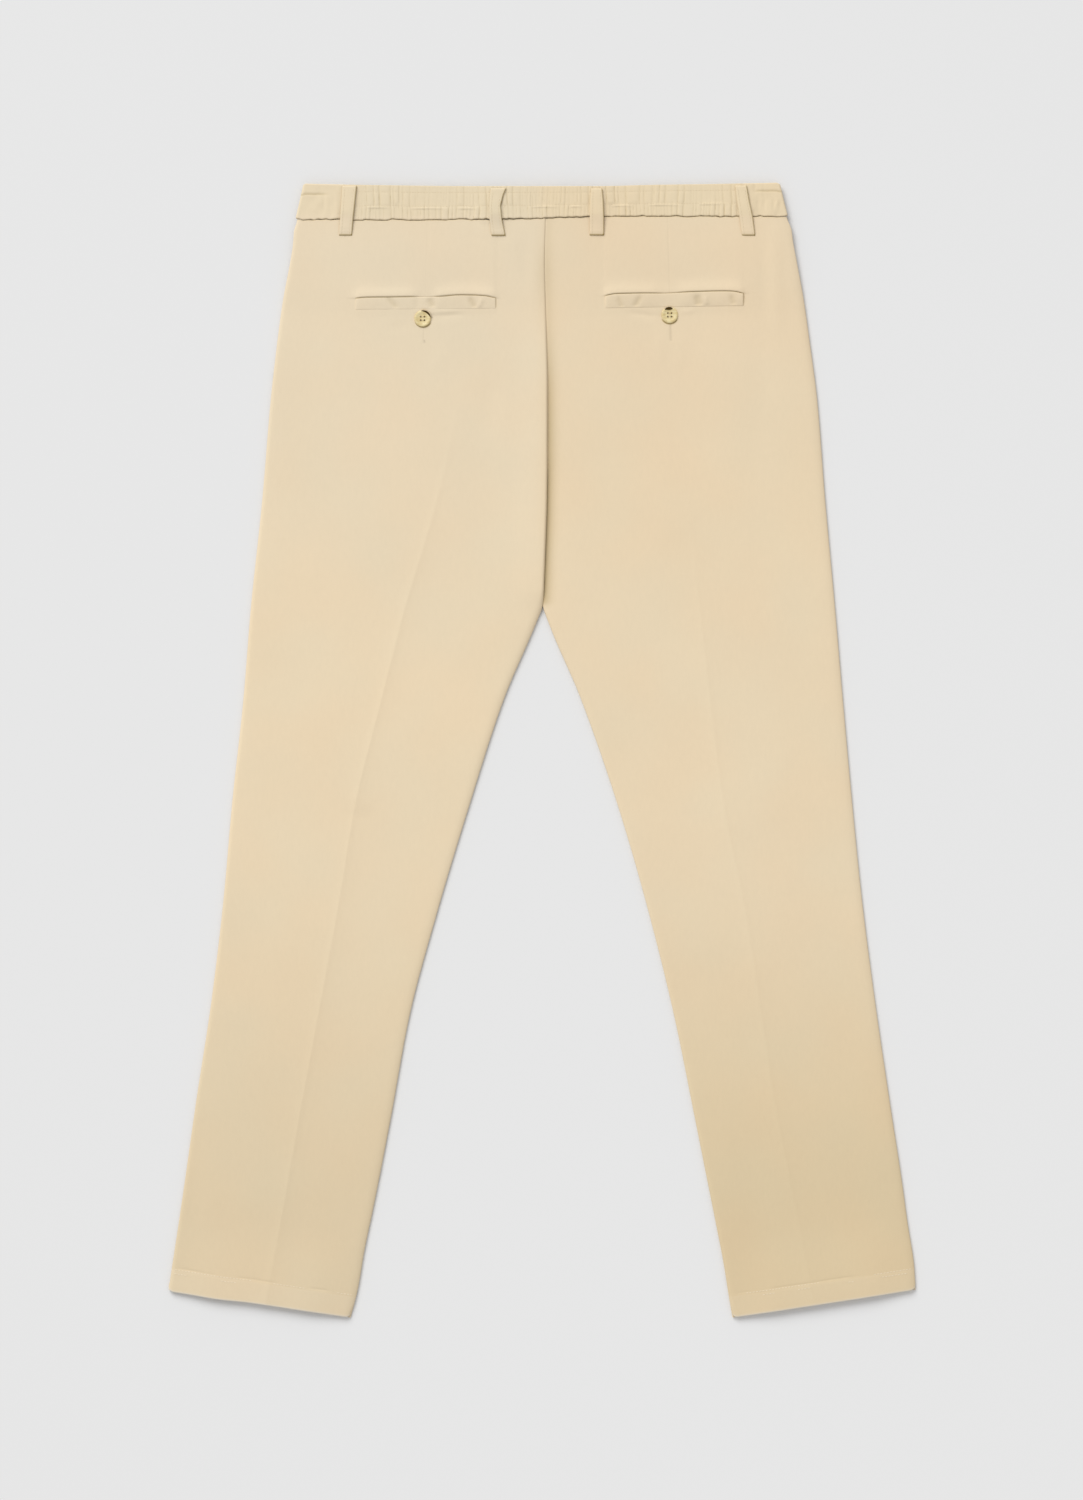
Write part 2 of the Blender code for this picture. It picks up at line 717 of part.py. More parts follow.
def make_button(name, place, face_down, collection, cutters):
    """A four-hole button with a raised rim, its back at the given place."""
    button = link_object(name, turned_mesh(name, BUTTON_PROFILE), collection, "horn")
    button.location = [MM * value for value in place]
    button.rotation_euler = (math.pi if face_down else 0.0, 0.0, 0.0)
    turn = button.modifiers.new("turn", "SCREW")
    turn.axis = "Z"
    turn.steps = BUTTON_SEGMENTS
    turn.render_steps = BUTTON_SEGMENTS
    turn.use_merge_vertices = True
    turn.merge_threshold = 0.00001
    for hole in make_hole_cutters(cutters):
        hole.parent = button
        cut = button.modifiers.new("hole", "BOOLEAN")
        cut.operation = "DIFFERENCE"
        cut.object = hole


def make_buttons(collection, cutters):
    for side in SIDES:
        x, y = POCKETS[side][4:]
        corners = [(x + dx, y + dy) for dx in BUTTON_REACH for dy in BUTTON_REACH]
        under = max(back_height(side, *corner) for corner in corners)
        make_button(f"button_pocket_{side}", (x, y, under + SEAM_GAP), False, collection, cutters)
    place = (0.0, WAIST_BUTTON_Y, BUTTON_THICKNESS)
    make_button("button_waist", place, True, collection, cutters)


def main():
    clear_scene()
    trousers = make_collection("chino_trousers")
    cutters = make_collection("cutters")
    for side in SIDES:
        make_back(side, trousers)
        make_front(side, trousers)
        make_facing(side, trousers)
        make_welt(side, trousers)
        make_front_band(side, trousers)
    make_back_band(trousers)
    make_loops(trousers)
    make_buttons(trousers, cutters)


main()
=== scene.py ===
"""Looks of the chino trousers: soft cloth, seams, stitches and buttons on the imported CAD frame.

The garment lies flat with its back up. +X goes to the wearer's right, +Y to the waist, +Z up.
Sizes are in millimetres and become metres where a mesh is made. "left" is the wearer's left.
"""

import math

import bpy
import numpy as np
from mathutils import Euler, Matrix, Vector


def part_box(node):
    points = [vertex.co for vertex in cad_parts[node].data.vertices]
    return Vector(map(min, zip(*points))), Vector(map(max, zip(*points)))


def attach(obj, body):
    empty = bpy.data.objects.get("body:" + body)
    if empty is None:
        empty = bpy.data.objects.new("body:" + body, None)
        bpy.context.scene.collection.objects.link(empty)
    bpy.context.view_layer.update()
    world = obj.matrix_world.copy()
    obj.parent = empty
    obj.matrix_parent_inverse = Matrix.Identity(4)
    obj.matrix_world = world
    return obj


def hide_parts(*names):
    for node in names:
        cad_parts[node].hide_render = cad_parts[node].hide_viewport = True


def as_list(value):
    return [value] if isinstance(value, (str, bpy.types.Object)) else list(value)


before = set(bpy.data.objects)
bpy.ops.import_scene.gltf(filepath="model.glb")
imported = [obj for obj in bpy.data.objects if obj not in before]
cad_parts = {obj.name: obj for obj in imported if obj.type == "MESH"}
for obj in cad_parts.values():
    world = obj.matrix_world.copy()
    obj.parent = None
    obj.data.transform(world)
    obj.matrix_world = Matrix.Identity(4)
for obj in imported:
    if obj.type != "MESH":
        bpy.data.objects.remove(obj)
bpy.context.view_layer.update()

MM = 0.001
SIDES = ("left", "right")
WAY = {"left": -1, "right": 1}      # direction of X from the middle to the side seam

# Cloth
CLOTH = 0.9
FRONT_CLOTH = 1
BAND_CLOTH = 1.8
LOOP_CLOTH = 1.4
LOOP_FOLD = 2.4
LOOP_WIDTH = 13
LOOP_STAND = 1.6                # how high a loop's outer surface stands over what it is sewn to
SEAM_GAP = 0.3
HALF_GAP = SEAM_GAP / 2
LAP_STEP = 1.3

# Heights along the garment, as in the CAD
HEM_Y = -496.8
HEM_FOLD_Y = -477
CROTCH_Y = 132.5
WAIST_Y = 491.2
WAIST_LINE = (
    (-229, -144, -125, -100, -89, -45, -34, 0, 10, 32, 43, 54, 230),
    (489.5, 489.5, 489.1, 489.1, 489.5, 489.6, 490.3, 490.5, 491.2, 491.4, 492, 492.7, 492.7),
)
WAIST_WANDER = ((0.55, 9, 41), (0.6, 3.6, 42))      # reach, pitch and seed
WAIST_LINE_START = 440
INSEAM_TOP = 122.5
SEAT_SEAM_FOOT = 150.5
LIFT_START = 470
LIFT_END = 398

# Waistband
BAND_SIDE_FOOT = 227.3
BAND_SIDE_TOP = 220.2
BAND_TOP_Y = 520.2
BAND_TOP_RISE = 2.6
BAND_CORNER = 1.1
BAND_HEIGHT = 27                # about how high the gathered band is, and the plain one
PLAIN_BAND_HEIGHT = 30
BAND_INSET = {"left": 1, "right": -0.2}
BAND_JOIN = {"left": -178, "right": 186}
BAND_TURN = BAND_CLOTH + HALF_GAP
FRONT_LIFT = LOOP_FOLD + SEAM_GAP
BAND_TOP_Z = FRONT_LIFT + 2 * BAND_TURN
BAND_END = {"left": -16, "right": -22}      # free ends on the front, past the middle
SWELL_START = 30
SWELL_END = 75
STITCH_ROWS = (0.40, 0.80)      # rows of stitches through the elastic, as shares of the height
END_ROW = {"left": 0.71, "right": 0.76}
GATHER_HEIGHT = 0.68
# Strength of the painted shade in the valleys between the gathers
GATHER_SHADE = 1.2

# Fly and front pockets
FLY_LAP = 8
FLY_FOOT = 300
FLY_FADE = 22
FLY_RAMP = 11
FLY_STITCH_REACH = 36           # how far its stitches lie in from the edge, and the height of their bend
FLY_STITCH_BEND = 52
MOUTH_FOOT = 345
MOUTH_FOOT_WIDTH = 9
MOUTH_TOP_WIDTH = 44
FACING_FOOT = 349.5
FACING_STEP = (5, 1)
FACING_REACH = 8

# Soft edges and pressed creases
SIDE_INSET = {"left": 1.5, "right": 0.5}        # how far the rolled edges draw in from the flat cut
INNER_INSET = {"left": 1.3, "right": 1.8}
TOP_CORNER = {"left": 2.6, "right": 3.5}        # how far the top of the side seam draws in
# Width over which the back rolls down to the side seam and the inseam, and how low those lie
OUTER, INNER = 0, 1
EDGE_ROLL = {"left": (4, 8), "right": (8, 4.5)}
SEAM_LOW = {"left": (1, 0.68), "right": (0.68, 0.9)}
# The same at the centre seam, for the front, and for its free edges at the pockets and the fly
SEAT_ROLL = 2.2
SEAT_DIP = 0.5
FRONT_ROLL = 3.6
FREE_ROLL = 1
FREE_LOW = 0.35
FRONT_STAND = 0.21              # the front's outer surface over the ground
SEAT_STEP = {"left": 0.4, "right": -0.5}        # height of each edge over their middle where the left laps
SEAT_LAP = 1.1                  # the left back folds that far over the right
# Shade at the centre seam: strength and width of its line, then low and high strength and width beside it
SEAT_SHADE = {"left": (0, 0.5, 0.05, 0, 4), "right": (-0.17, 1.8, 0.46, 0.1, 7.4)}
SEAT_BULGE = 1.7
SEAT_VALLEY = 1.2
HEM_LIFT = 2.6                  # the open ends of the legs stand a little off the ground
HEM_CORNER = 3.8
HEM_FLARE = 2.1
HEM_SAG = 1.4
HEM_STEP = 0.1
HEM_RIM = 2.2
SEAT_REACH = 70
SIDE_REACH = 45
CREASE_RIDGES = ((0.42, 22), (0.2, 6))      # height and reach
# Faint unevenness of the cloth: height, stretch along the legs, pitch and seed
UNEVENNESS = ((0.16, 0.6, 46, 3), (0.07, 0.8, 19, 4), (0.015, 1, 6, 5))

# Back pockets
BUTTONS = {"left": (-108.6, 398.6), "right": (118.6, 401.6)}
WELT_HEIGHT = 10.6
WELT_LENGTH = 130
WELT_TILT = {"left": 0.8, "right": 1.5}
POCKET_LIP = 1.5                # how high the cloth stands over the mouth
POCKET_BED = 0.9                # how deep it sinks beneath the welt
BUTTON_DIP = 1.3                # and beneath the button
# x, y of the two ends of the welt's middle line
POCKETS = {"left": (-171, 412, -41.5, 413), "right": (59, 413.4, 186.8, 415.6)}
# Where the mouth of a pocket lies closed: middle, half length, soft end and how closed it is
CLOSED_PARTS = {"left": (-106, 7, 6, 0.97), "right": (118, 4, 14, 0.6)}
# How far the welt's upper edge bows up, at shares of its length
WELT_BOWS = {
    "left": ((0, 0.05, 0.42, 0.6, 0.73, 0.86, 0.96, 1), (-0.4, 0.6, 0.8, 0.8, 2.3, 1.8, 0.7, -1.6)),
    "right": ((0, 0.05, 0.25, 0.45, 0.61, 0.83, 0.94, 1), (0.3, 2.3, 2.5, 2, 2.9, 3.2, 2.7, 0.2)),
}


def mix(a, b, t):
    """The value a part t of the way from a to b."""
    return a + (b - a) * t


def ramp(start, end, value):
    """0 at the start and 1 at the end, soft between them and level beyond. It falls if end is the lower."""
    t = np.clip((value - start) / (end - start), 0, 1)
    return t * t * (3 - 2 * t)


def near(distance, reach):
    """1 at no distance, falling softly to 0 at the reach."""
    return ramp(reach, 0, distance)


def bell(distance, width):
    """1 at no distance, falling to nothing at about twice the width."""
    return np.exp(-((distance / width) ** 2))


def roll(t):
    """The quarter of a circle by which cloth rolls down to an edge: 0 there and 1 from t = 1."""
    return np.sqrt(1 - (1 - np.clip(t, 0, 1)) ** 2)


def fall(distance, width):
    """1 at an edge, rolling up to 0 at the width."""
    return 1 - roll(distance / width)


def stack(x, y, z):
    """Points from their coordinates."""
    return np.stack(np.broadcast_arrays(x, y, z), axis=-1)


def soft_noise(x, y, pitch, seed):
    """Smooth unevenness between -1 and 1, on a lattice of the given pitch."""
    count = 64
    lattice = np.random.default_rng(seed).uniform(-1, 1, (count, count))
    u, v = np.broadcast_arrays(x / pitch + 500, y / pitch + 500)
    i, j = np.floor(u).astype(int), np.floor(v).astype(int)
    s, t = u - i, v - j
    s, t = s * s * (3 - 2 * s), t * t * (3 - 2 * t)
    low = mix(lattice[i % count, j % count], lattice[(i + 1) % count, j % count], s)
    high = mix(lattice[i % count, (j + 1) % count], lattice[(i + 1) % count, (j + 1) % count], s)
    return mix(low, high, t)


class Table:
    """Rows of sizes from the hem to the waist, read on a smooth curve through the rows."""

    def __init__(self, columns, rows):
        values = np.array(rows, dtype=float)
        self.heights = values[:, 0]
        self.columns = dict(zip(columns.split(), values.T))

    def at(self, name, y):
        """Values of one column at the heights y."""
        heights, column = self.heights, self.columns[name]
        rises = np.diff(column) / np.diff(heights)
        before, after = rises[:-1], rises[1:]
        total = np.where(before + after == 0, 1, before + after)
        inner = np.where(before * after > 0, 2 * before * after / total, 0)
        slopes = np.concatenate((rises[:1], inner, rises[-1:]))
        i = np.clip(np.searchsorted(heights, y) - 1, 0, len(column) - 2)
        length = heights[i + 1] - heights[i]
        t = np.clip((y - heights[i]) / length, 0, 1)
        from_start = column[i] * (1 + 2 * t) + length * slopes[i] * t
        from_end = column[i + 1] * (3 - 2 * t) - length * slopes[i + 1] * (1 - t)
        return from_start * (1 - t) ** 2 + from_end * t**2


OUTLINE = Table("y left_side left_crease right_crease right_side", (
    (-496.8, -345, -253.9, 252.1, 345), (-413, -332.3, -238.3, 235.5, 335.6),
    (-321, -319.2, -221.7, 217.1, 321.8), (-229, -305.2, -204.2, 202.4, 308.4),
    (-137, -294.3, -186.8, 187.7, 296.6), (-45, -286, -171.1, 168.4, 287.3), (47, -276, -147.7, 156.4, 279),
    (132.5, -269, -125.1, 146.3, 271.7), (231, -258.6, -95.7, 137, 262.7), (323, -250.8, -75, 122, 255.4),
    (378, -244.6, -66, 106, 248.3), (415, -239.5, -62, 95, 243.1), (452, -232.5, -60, 84, 236.1),
    (470, -229.9, -60, 78, 232.6), (491.2, -228.8, -60, 75, 230.3),
))
INSEAM = Table("y inner_y left right", (
    (-496.8, -522.6, -176.6, 176.6), (-413, -435.4, -156.2, 159.3), (-321, -339.6, -137.3, 140.2),
    (-229, -243.8, -119.7, 120.8), (-137, -148, -94.1, 97.2), (-45, -52.3, -65.3, 69.6),
    (47, 43.5, -34.3, 36.6), (102, 100.9, -11, 13.2), (132.5, 132.5, 1.6, 1.6),
))
SEAT = Table("y x", (
    (132.5, 1.6), (176, 3.3), (231, 5.1), (277, 5.7), (341, 5.8), (378, 4.9), (415, 3.7), (452, 2.8),
    (491.2, 3.7),
))
RELIEF = Table("y side sheet left_crease right_crease left_inner right_inner", (
    (-496.8, 4.3, 4, 0.9, 0.7, 4.3, 4.3), (-440, 3.9, 3.5, 1.2, 0.9, 3.9, 3.9),
    (-137, 3.8, 3.3, 1.3, 1, 3.8, 3.8), (80, 3.9, 3.4, 1.3, 0.9, 4, 4), (132.5, 4, 3.5, 1.2, 0.6, 4.8, 4),
    (200, 4, 3.5, 0.9, 0.3, 5.6, 3.8), (286, 4, 3.6, 0.4, 0, 5.6, 3.9), (345, 4.2, 3.9, 0, 0, 5.4, 4.2),
    (400, 4.4, 4.2, 0, 0, 5.2, 4.6), (433, 5.5, 5.3, 0, 0, 6.1, 5.7), (468, 6.3, 6.3, 0, 0, 7.7, 7.5),
    (491.2, 6.5, 6.5, 0, 0, 8.4, 8.4),
))

# Soft folds of the back: from x, y to x, y, half width and height, which is negative in a trough
FOLDS = (
    (204, 482, 205, 400, 6, -0.5), (205, 400, 200, 250, 15, -0.6), (216, 480, 218, 385, 5, 0.5),
    (134, 300, 150, 135, 24, -0.55), (-46, 345, -48, 290, 11, -0.5), (-16, 470, -13, 424, 7, -0.45),
    (-53.6, 487.4, -48, 477.4, 1.5, -0.5), (-57, 486, -51, 474, 3, 0.4),
    (-315, -310, -326, -470, 13, -0.45), (193, -370, 204, -480, 17, -0.45), (-176, -40, -158, -52, 5, 0.35),
    (-182, -58, -160, -64, 5, -0.3), (-101, 400.5, -72, 402.5, 2.4, -0.4),
    (-101, 404.5, -76, 405.5, 2.2, 0.25), (82, 404, 108, 400, 2.6, -0.35), (129, 404, 140, 406, 2.4, 0.3),
    (-120, 394, -140, 388, 3, -0.2), (-92, 372, -95, 350, 5, 0.3), (130, 388, 128, 352, 5, 0.3),
    (109, 388, 111, 352, 5, 0.25),
)

# Puckers of the welts: from x, y to x, y, half width and height
PUCKERS = (
    (-142, 418, -132, 408, 2.4, -0.35), (-103, 417, -99, 409, 3, -0.4), (-66, 418, -60, 408, 2.4, -0.45),
    (-54, 417, -58, 408, 2, 0.3), (71, 418, 75, 408, 2.4, -0.35), (92, 419, 86, 409, 2.6, -0.4),
    (143, 420, 146, 410, 3.2, -0.55), (151, 419, 153, 411, 2.2, 0.35), (175, 420, 178, 411, 2.6, -0.4),
)


# Shape of the panels, as in the CAD


def side_x(side, y):
    return OUTLINE.at(side + "_side", y)


def inner_x(side, y):
    """x of the inseam or the centre seam, half the gap short of it, which closes to the waist."""
    seam = np.where(y < CROTCH_Y, INSEAM.at(side, y), SEAT.at("x", y))
    return seam + WAY[side] * (HALF_GAP - seat_lap(y) / 2)


def seat_lap(y):
    """How far the left back laps over the right at the centre seam."""
    return SEAT_LAP * ramp(132, 142, y)


def width_at(side, y):
    return abs(inner_x(side, y) - side_x(side, y))


def crease_distance(side, y):
    return abs(OUTLINE.at(side + "_crease", y) - side_x(side, y))


def plan_point(side, y, distance):
    """x and y of the points of the row at height y, that far in from the side seam."""
    way, flare = WAY[side], HEM_FLARE * bell(y - HEM_Y - 25, 28)
    outer, inner = side_x(side, y) - way * SIDE_INSET[side], inner_x(side, y)
    inner = inner + way * INNER_INSET[side] * ramp(130, 60, y) * ramp(HEM_Y, HEM_Y + 60, y)
    if side == "left":
        inner = inner - way * flare
    else:
        outer = outer + way * flare
    t = distance / width_at(side, y)
    x = mix(outer, inner, t) - way * TOP_CORNER[side] * ramp(478, WAIST_Y, y) * near(distance, 14)
    inner_y = np.where(y < CROTCH_Y, INSEAM.at("inner_y", y), y)
    lean = (waist_line(x) - WAIST_Y) * ramp(WAIST_LINE_START, WAIST_Y, y)
    return x, mix(y, inner_y, t) + lean


def front_height(y):
    return FRONT_LIFT * ramp(LIFT_END, LIFT_START, y)


def seam_height(side, edge, y):
    """Height of the side seam or the inseam, which lies low so that the back rolls over it."""
    low = SEAM_LOW[side][edge]
    return (RELIEF.at("side", y) * mix(low, 1, ramp(LIFT_END, LIFT_START, y)) + front_height(y)) / 2


def inseam_share(y):
    return ramp(SEAT_SEAM_FOOT, INSEAM_TOP, y)


def back_height(side, x, y):
    """Height of the back's outer surface inside its rolled edges, without its small folds."""
    sheet = RELIEF.at("sheet", y)
    from_crease = abs(x - OUTLINE.at(side + "_crease", y))
    height = mix(sheet, RELIEF.at("side", y), near(abs(x - side_x(side, y)), SIDE_REACH))
    inner = RELIEF.at(side + "_inner", y) - sheet
    height = height + inner * near(abs(x - inner_x(side, y)), SEAT_REACH)
    ridge = sum(rise * np.maximum(1 - from_crease / reach, 0) ** 2 for rise, reach in CREASE_RIDGES)
    return height + RELIEF.at(side + "_crease", y) * ridge


def along_line(x, y, x0, y0, x1, y1):
    """For each point the share along a line, from 0 to 1, and the distance from it."""
    length = math.hypot(x1 - x0, y1 - y0)
    dx, dy = (x1 - x0) / length, (y1 - y0) / length
    along = (x - x0) * dx + (y - y0) * dy
    beyond = along - np.clip(along, 0, length)
    return along / length, np.hypot((x - x0) * dy - (y - y0) * dx, beyond)


def folds(x, y, table):
    """Height of the soft folds of a table."""
    height = np.zeros(np.broadcast(x, y).shape)
    for x0, y0, x1, y1, width, rise in table:
        share, distance = along_line(x, y, x0, y0, x1, y1)
        fade = ramp(-0.1, 0.3, share) * ramp(1.1, 0.7, share)
        height += rise * bell(distance, width) * mix(0.25, 1, fade)
    return height


def welt_line(side, x, y):
    """Distances beyond the two ends of a pocket's welt, and over its upper and below its lower edge."""
    x0, y0, x1, y1 = POCKETS[side]
    share = (x - x0) / (x1 - x0)
    above = y - mix(y0, y1, share)
    return x0 - x, x - x1, above - WELT_HEIGHT / 2 - welt_bow(side, share), -above - WELT_HEIGHT / 2


def welt_bow(side, share):
    """How far the upper edge of a welt bows up."""
    shares, rises = WELT_BOWS[side]
    spread = np.linspace(-0.035, 0.035, 5)
    return sum(np.interp(share + d, shares, rises) for d in spread) / len(spread)


def closed_part(side, x):
    """Where the mouth of the pocket lies closed and shows no line."""
    middle, half, soft, closed = CLOSED_PARTS[side]
    return closed * near(abs(x - middle) - half, soft)


def pocket_relief(side, x, y):
    """The cloth stands up over the mouth of the pocket and sinks beneath the welt."""
    before, after, over, below = welt_line(side, x, y)
    beyond = np.maximum(before, after)
    inside = ramp(-1.2, -2, before) * ramp(-1.3, -2.2, after)
    under_welt = inside * ramp(0.1, -0.9, over) * ramp(-1.2, -2, below)
    lip = POCKET_LIP * bell(np.maximum(over - 1, 0), 7) * ramp(-0.3, 0.9, over) * ramp(5, -6, beyond)
    foot = 0.25 * bell(np.maximum(below, 0), 5) * ramp(2, -3, beyond)
    middle_x, middle_y = BUTTONS[side]
    dip = BUTTON_DIP * ramp(6.2, 3.2, np.hypot(x - middle_x, y - middle_y))
    return (1 - under_welt) * (lip * (1 - closed_part(side, x)) + foot) - POCKET_BED * under_welt - dip


def seat_relief(side, y, from_seam):
    """The left back bulges beside the centre seam and the right back lies in its shade."""
    low = ramp(CROTCH_Y - 6, 150, y)
    if side == "left":
        return SEAT_BULGE * low * mix(1, 0.25, ramp(330, 430, y)) * near(from_seam, 34)
    return -SEAT_VALLEY * low * mix(1, 0.3, ramp(240, 275, y)) * near(from_seam, 17)


def unevenness(x, y):
    """Height of the soft folds and of the unevenness of pressed cloth that was laid out by hand."""
    waves = (rise * soft_noise(x, y * stretch, pitch, seed) for rise, stretch, pitch, seed in UNEVENNESS)
    return folds(x, y, FOLDS) + sum(waves)


def back_surface(side, y, distance):
    """Points of the back's outer surface, from the heights of their rows and from the side seam."""
    y, distance = np.broadcast_arrays(y, distance)
    x, plan_y = plan_point(side, y, distance)
    from_seam = width_at(side, y) - distance
    from_edge = np.minimum(distance, from_seam)
    z = back_height(side, x, y) + unevenness(x, plan_y) + pocket_relief(side, x, plan_y)
    z = z + seat_relief(side, y, from_seam) + hem_relief(x, y, from_edge)
    outer_seam, inner_seam = (seam_height(side, edge, y) + HALF_GAP for edge in (OUTER, INNER))
    step = SEAT_STEP[side] * seat_lap(y) / SEAT_LAP * mix(0.85, 0.3, ramp(235, 270, y))
    seat_edge = RELIEF.at("right_inner", y) - SEAT_DIP + step
    if side == "right":
        seat_edge = seat_edge + 0.85 * seat_relief(side, y, 0)
    edge = mix(seat_edge, inner_seam, inseam_share(y))
    edge_roll = mix(SEAT_ROLL, EDGE_ROLL[side][INNER], inseam_share(y))
    z = mix(outer_seam, z, roll(distance / EDGE_ROLL[side][OUTER]))
    z = mix(edge, z, roll(from_seam / edge_roll))
    z = z - 0.6 * fall(WAIST_Y - SEAM_GAP - y, 1) - 0.8 * fall(y - HEM_Y, 1.4)
    corner = HEM_CORNER * fall(from_edge, 1.3 * HEM_CORNER)
    plan_y = plan_y + corner * near(y - HEM_Y, 12)
    if side == "left":
        sag = HEM_SAG * (near(distance, 60) + bell(distance - 46, 22))
        plan_y = plan_y - sag * near(y - HEM_Y, 40)
    return stack(x, plan_y, z)


def hem_relief(x, y, from_edge):
    """The hem: its free edge lifts off the ground, and its row of stitches draws in here and there."""
    lift = HEM_LIFT * near(y - HEM_Y, 75) * ramp(2, 45, from_edge)
    patches = np.clip(0.35 + 1.3 * soft_noise(x, 0, 17, 31), 0, 1)
    from_fold = y - HEM_FOLD_Y + 0.6 * soft_noise(x, 0, 30, 32)
    return lift + HEM_STEP * ramp(0.5, -2.5, from_fold) - 0.26 * patches * bell(from_fold - 0.9, 0.9)


def back_shade(side, y, distance, points):
    """How deep each point of the back lies in the shade of a seam, from 0 to 1. On the pale rim of
    the hem it is negative."""
    from_seam = width_at(side, y) - distance
    top = bell(WAIST_Y - SEAM_GAP - y, 0.9)
    before, after, over, below = welt_line(side, points[..., 0], points[..., 1])
    slit = bell(over + 0.1, 0.6) * ramp(0.6, -0.6, np.maximum(before, after))
    slit = slit * (1 - closed_part(side, points[..., 0]))
    end = bell(after - 0.1, 0.5) * ramp(0.3, -1.5, over) * ramp(0, -2.5, below)
    line, line_width, soft, soft_top, soft_width = SEAT_SHADE[side]
    seat = mix(line, 0.05, ramp(270, 235, y)) * bell(from_seam, line_width)
    seat = seat + mix(soft, soft_top, ramp(290, 430, y)) * bell(from_seam, soft_width)
    seat = seat + 0.11 * bell(y - 437, 32) * bell(from_seam, 8)
    deep = 0.26 * top + 0.5 * slit + 0.3 * end + seat * ramp(131, 140, y)
    return np.clip(deep, 0, 1) - near(y - HEM_Y, HEM_RIM)


# Distances of the closest columns of a back panel from an edge, from its crease and from a welt's end
EDGE_COLUMNS = (0, 0.15, 0.5, 1, 1.6, 2.4, 3.4, 4.8, 6.9, 9.6, 13)
CREASE_COLUMNS = (-12, -7.5, -4.5, -2.2, -0.8, 0, 0.8, 2.2, 4.5, 7.5, 12)
END_COLUMNS = np.array((-2.6, -1.4, -0.7, -0.3, 0.1, 0.5, 1, 2.2))
OUTER_SPAN, INNER_SPAN = 35, 30     # even columns on either side of the crease


def levels(start, *steps):
    """Heights from the start: by turns a step and the height up to which it is taken."""
    parts = [[start]]
    for step, end in zip(steps[::2], steps[1::2]):
        parts.append(np.linspace(start, end, max(round((end - start) / step), 1) + 1)[1:])
        start = end
    return np.concatenate(parts)


def panel_columns(start, crease, end, edge_columns, crease_columns, spans):
    """Distances of a panel's columns, closest at both edges and the crease, with shares for each span."""
    first, reach = edge_columns[-1], crease_columns[-1]
    columns = [start + d for d in edge_columns]
    columns += [mix(start + first, crease - reach, share) for share in spans[0]]
    columns += [crease + d for d in crease_columns]
    columns += [mix(crease + reach, end - first, share) for share in spans[1]]
    columns += [end - d for d in edge_columns[::-1]]
    return np.stack(columns, axis=1)


def span_shares(count, start, end, place):
    """Shares of even columns between start and end, with a close group of them at a place."""
    group = (place + END_COLUMNS - start) / (end - start)
    even = np.arange(1, count) / count
    apart = abs(even[:, None] - group).min(axis=1) > 1.2 / abs(end - start)
    return np.sort(np.concatenate((even[apart], group)))


def back_columns(side, y):
    """Distances from the side seam of a back panel's columns, also close at the ends of its pocket."""
    x0, y0, x1, y1 = POCKETS[side]
    ends = sorted((abs(x0 - side_x(side, y0)), abs(x1 - side_x(side, y1))))
    middle, first, reach = crease_distance(side, y0), EDGE_COLUMNS[-1], CREASE_COLUMNS[-1]
    outer = span_shares(OUTER_SPAN, first, middle - reach, ends[0])
    inner = span_shares(INNER_SPAN, middle + reach, width_at(side, y0) - first, ends[1])
    crease, width = crease_distance(side, y), width_at(side, y)
    return panel_columns(y * 0, crease, width, EDGE_COLUMNS, CREASE_COLUMNS, (outer, inner))


BACK_LEVELS = levels(
    HEM_Y, 0.3, HEM_Y + 1.5, 2.7, HEM_FOLD_Y - 3, 0.6, HEM_FOLD_Y + 3, 3.6, 400, 0.7, 428, 3, 486,
    0.5, WAIST_Y - SEAM_GAP,
)


# Meshes and pieces


def add(name, data):
    """A new object in the scene."""
    obj = bpy.data.objects.new(name, data)
    bpy.context.scene.collection.objects.link(obj)
    return obj


def make_mesh(vertices, faces):
    """A mesh from vertices in millimetres."""
    mesh = bpy.data.meshes.new("mesh")
    mesh.from_pydata((np.asarray(vertices) * MM).tolist(), [], faces)
    return mesh


def make_piece(name, mesh, material, node=None, sharp=55):
    """A piece of the garment, which may stand for a CAD node. Edges over that many degrees stay sharp."""
    mesh.shade_smooth()
    mesh.set_sharp_from_angle(angle=math.radians(sharp))
    mesh.materials.append(material)
    piece = add(name, mesh)
    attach(piece, "root")
    if node:
        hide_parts(node)
    return piece


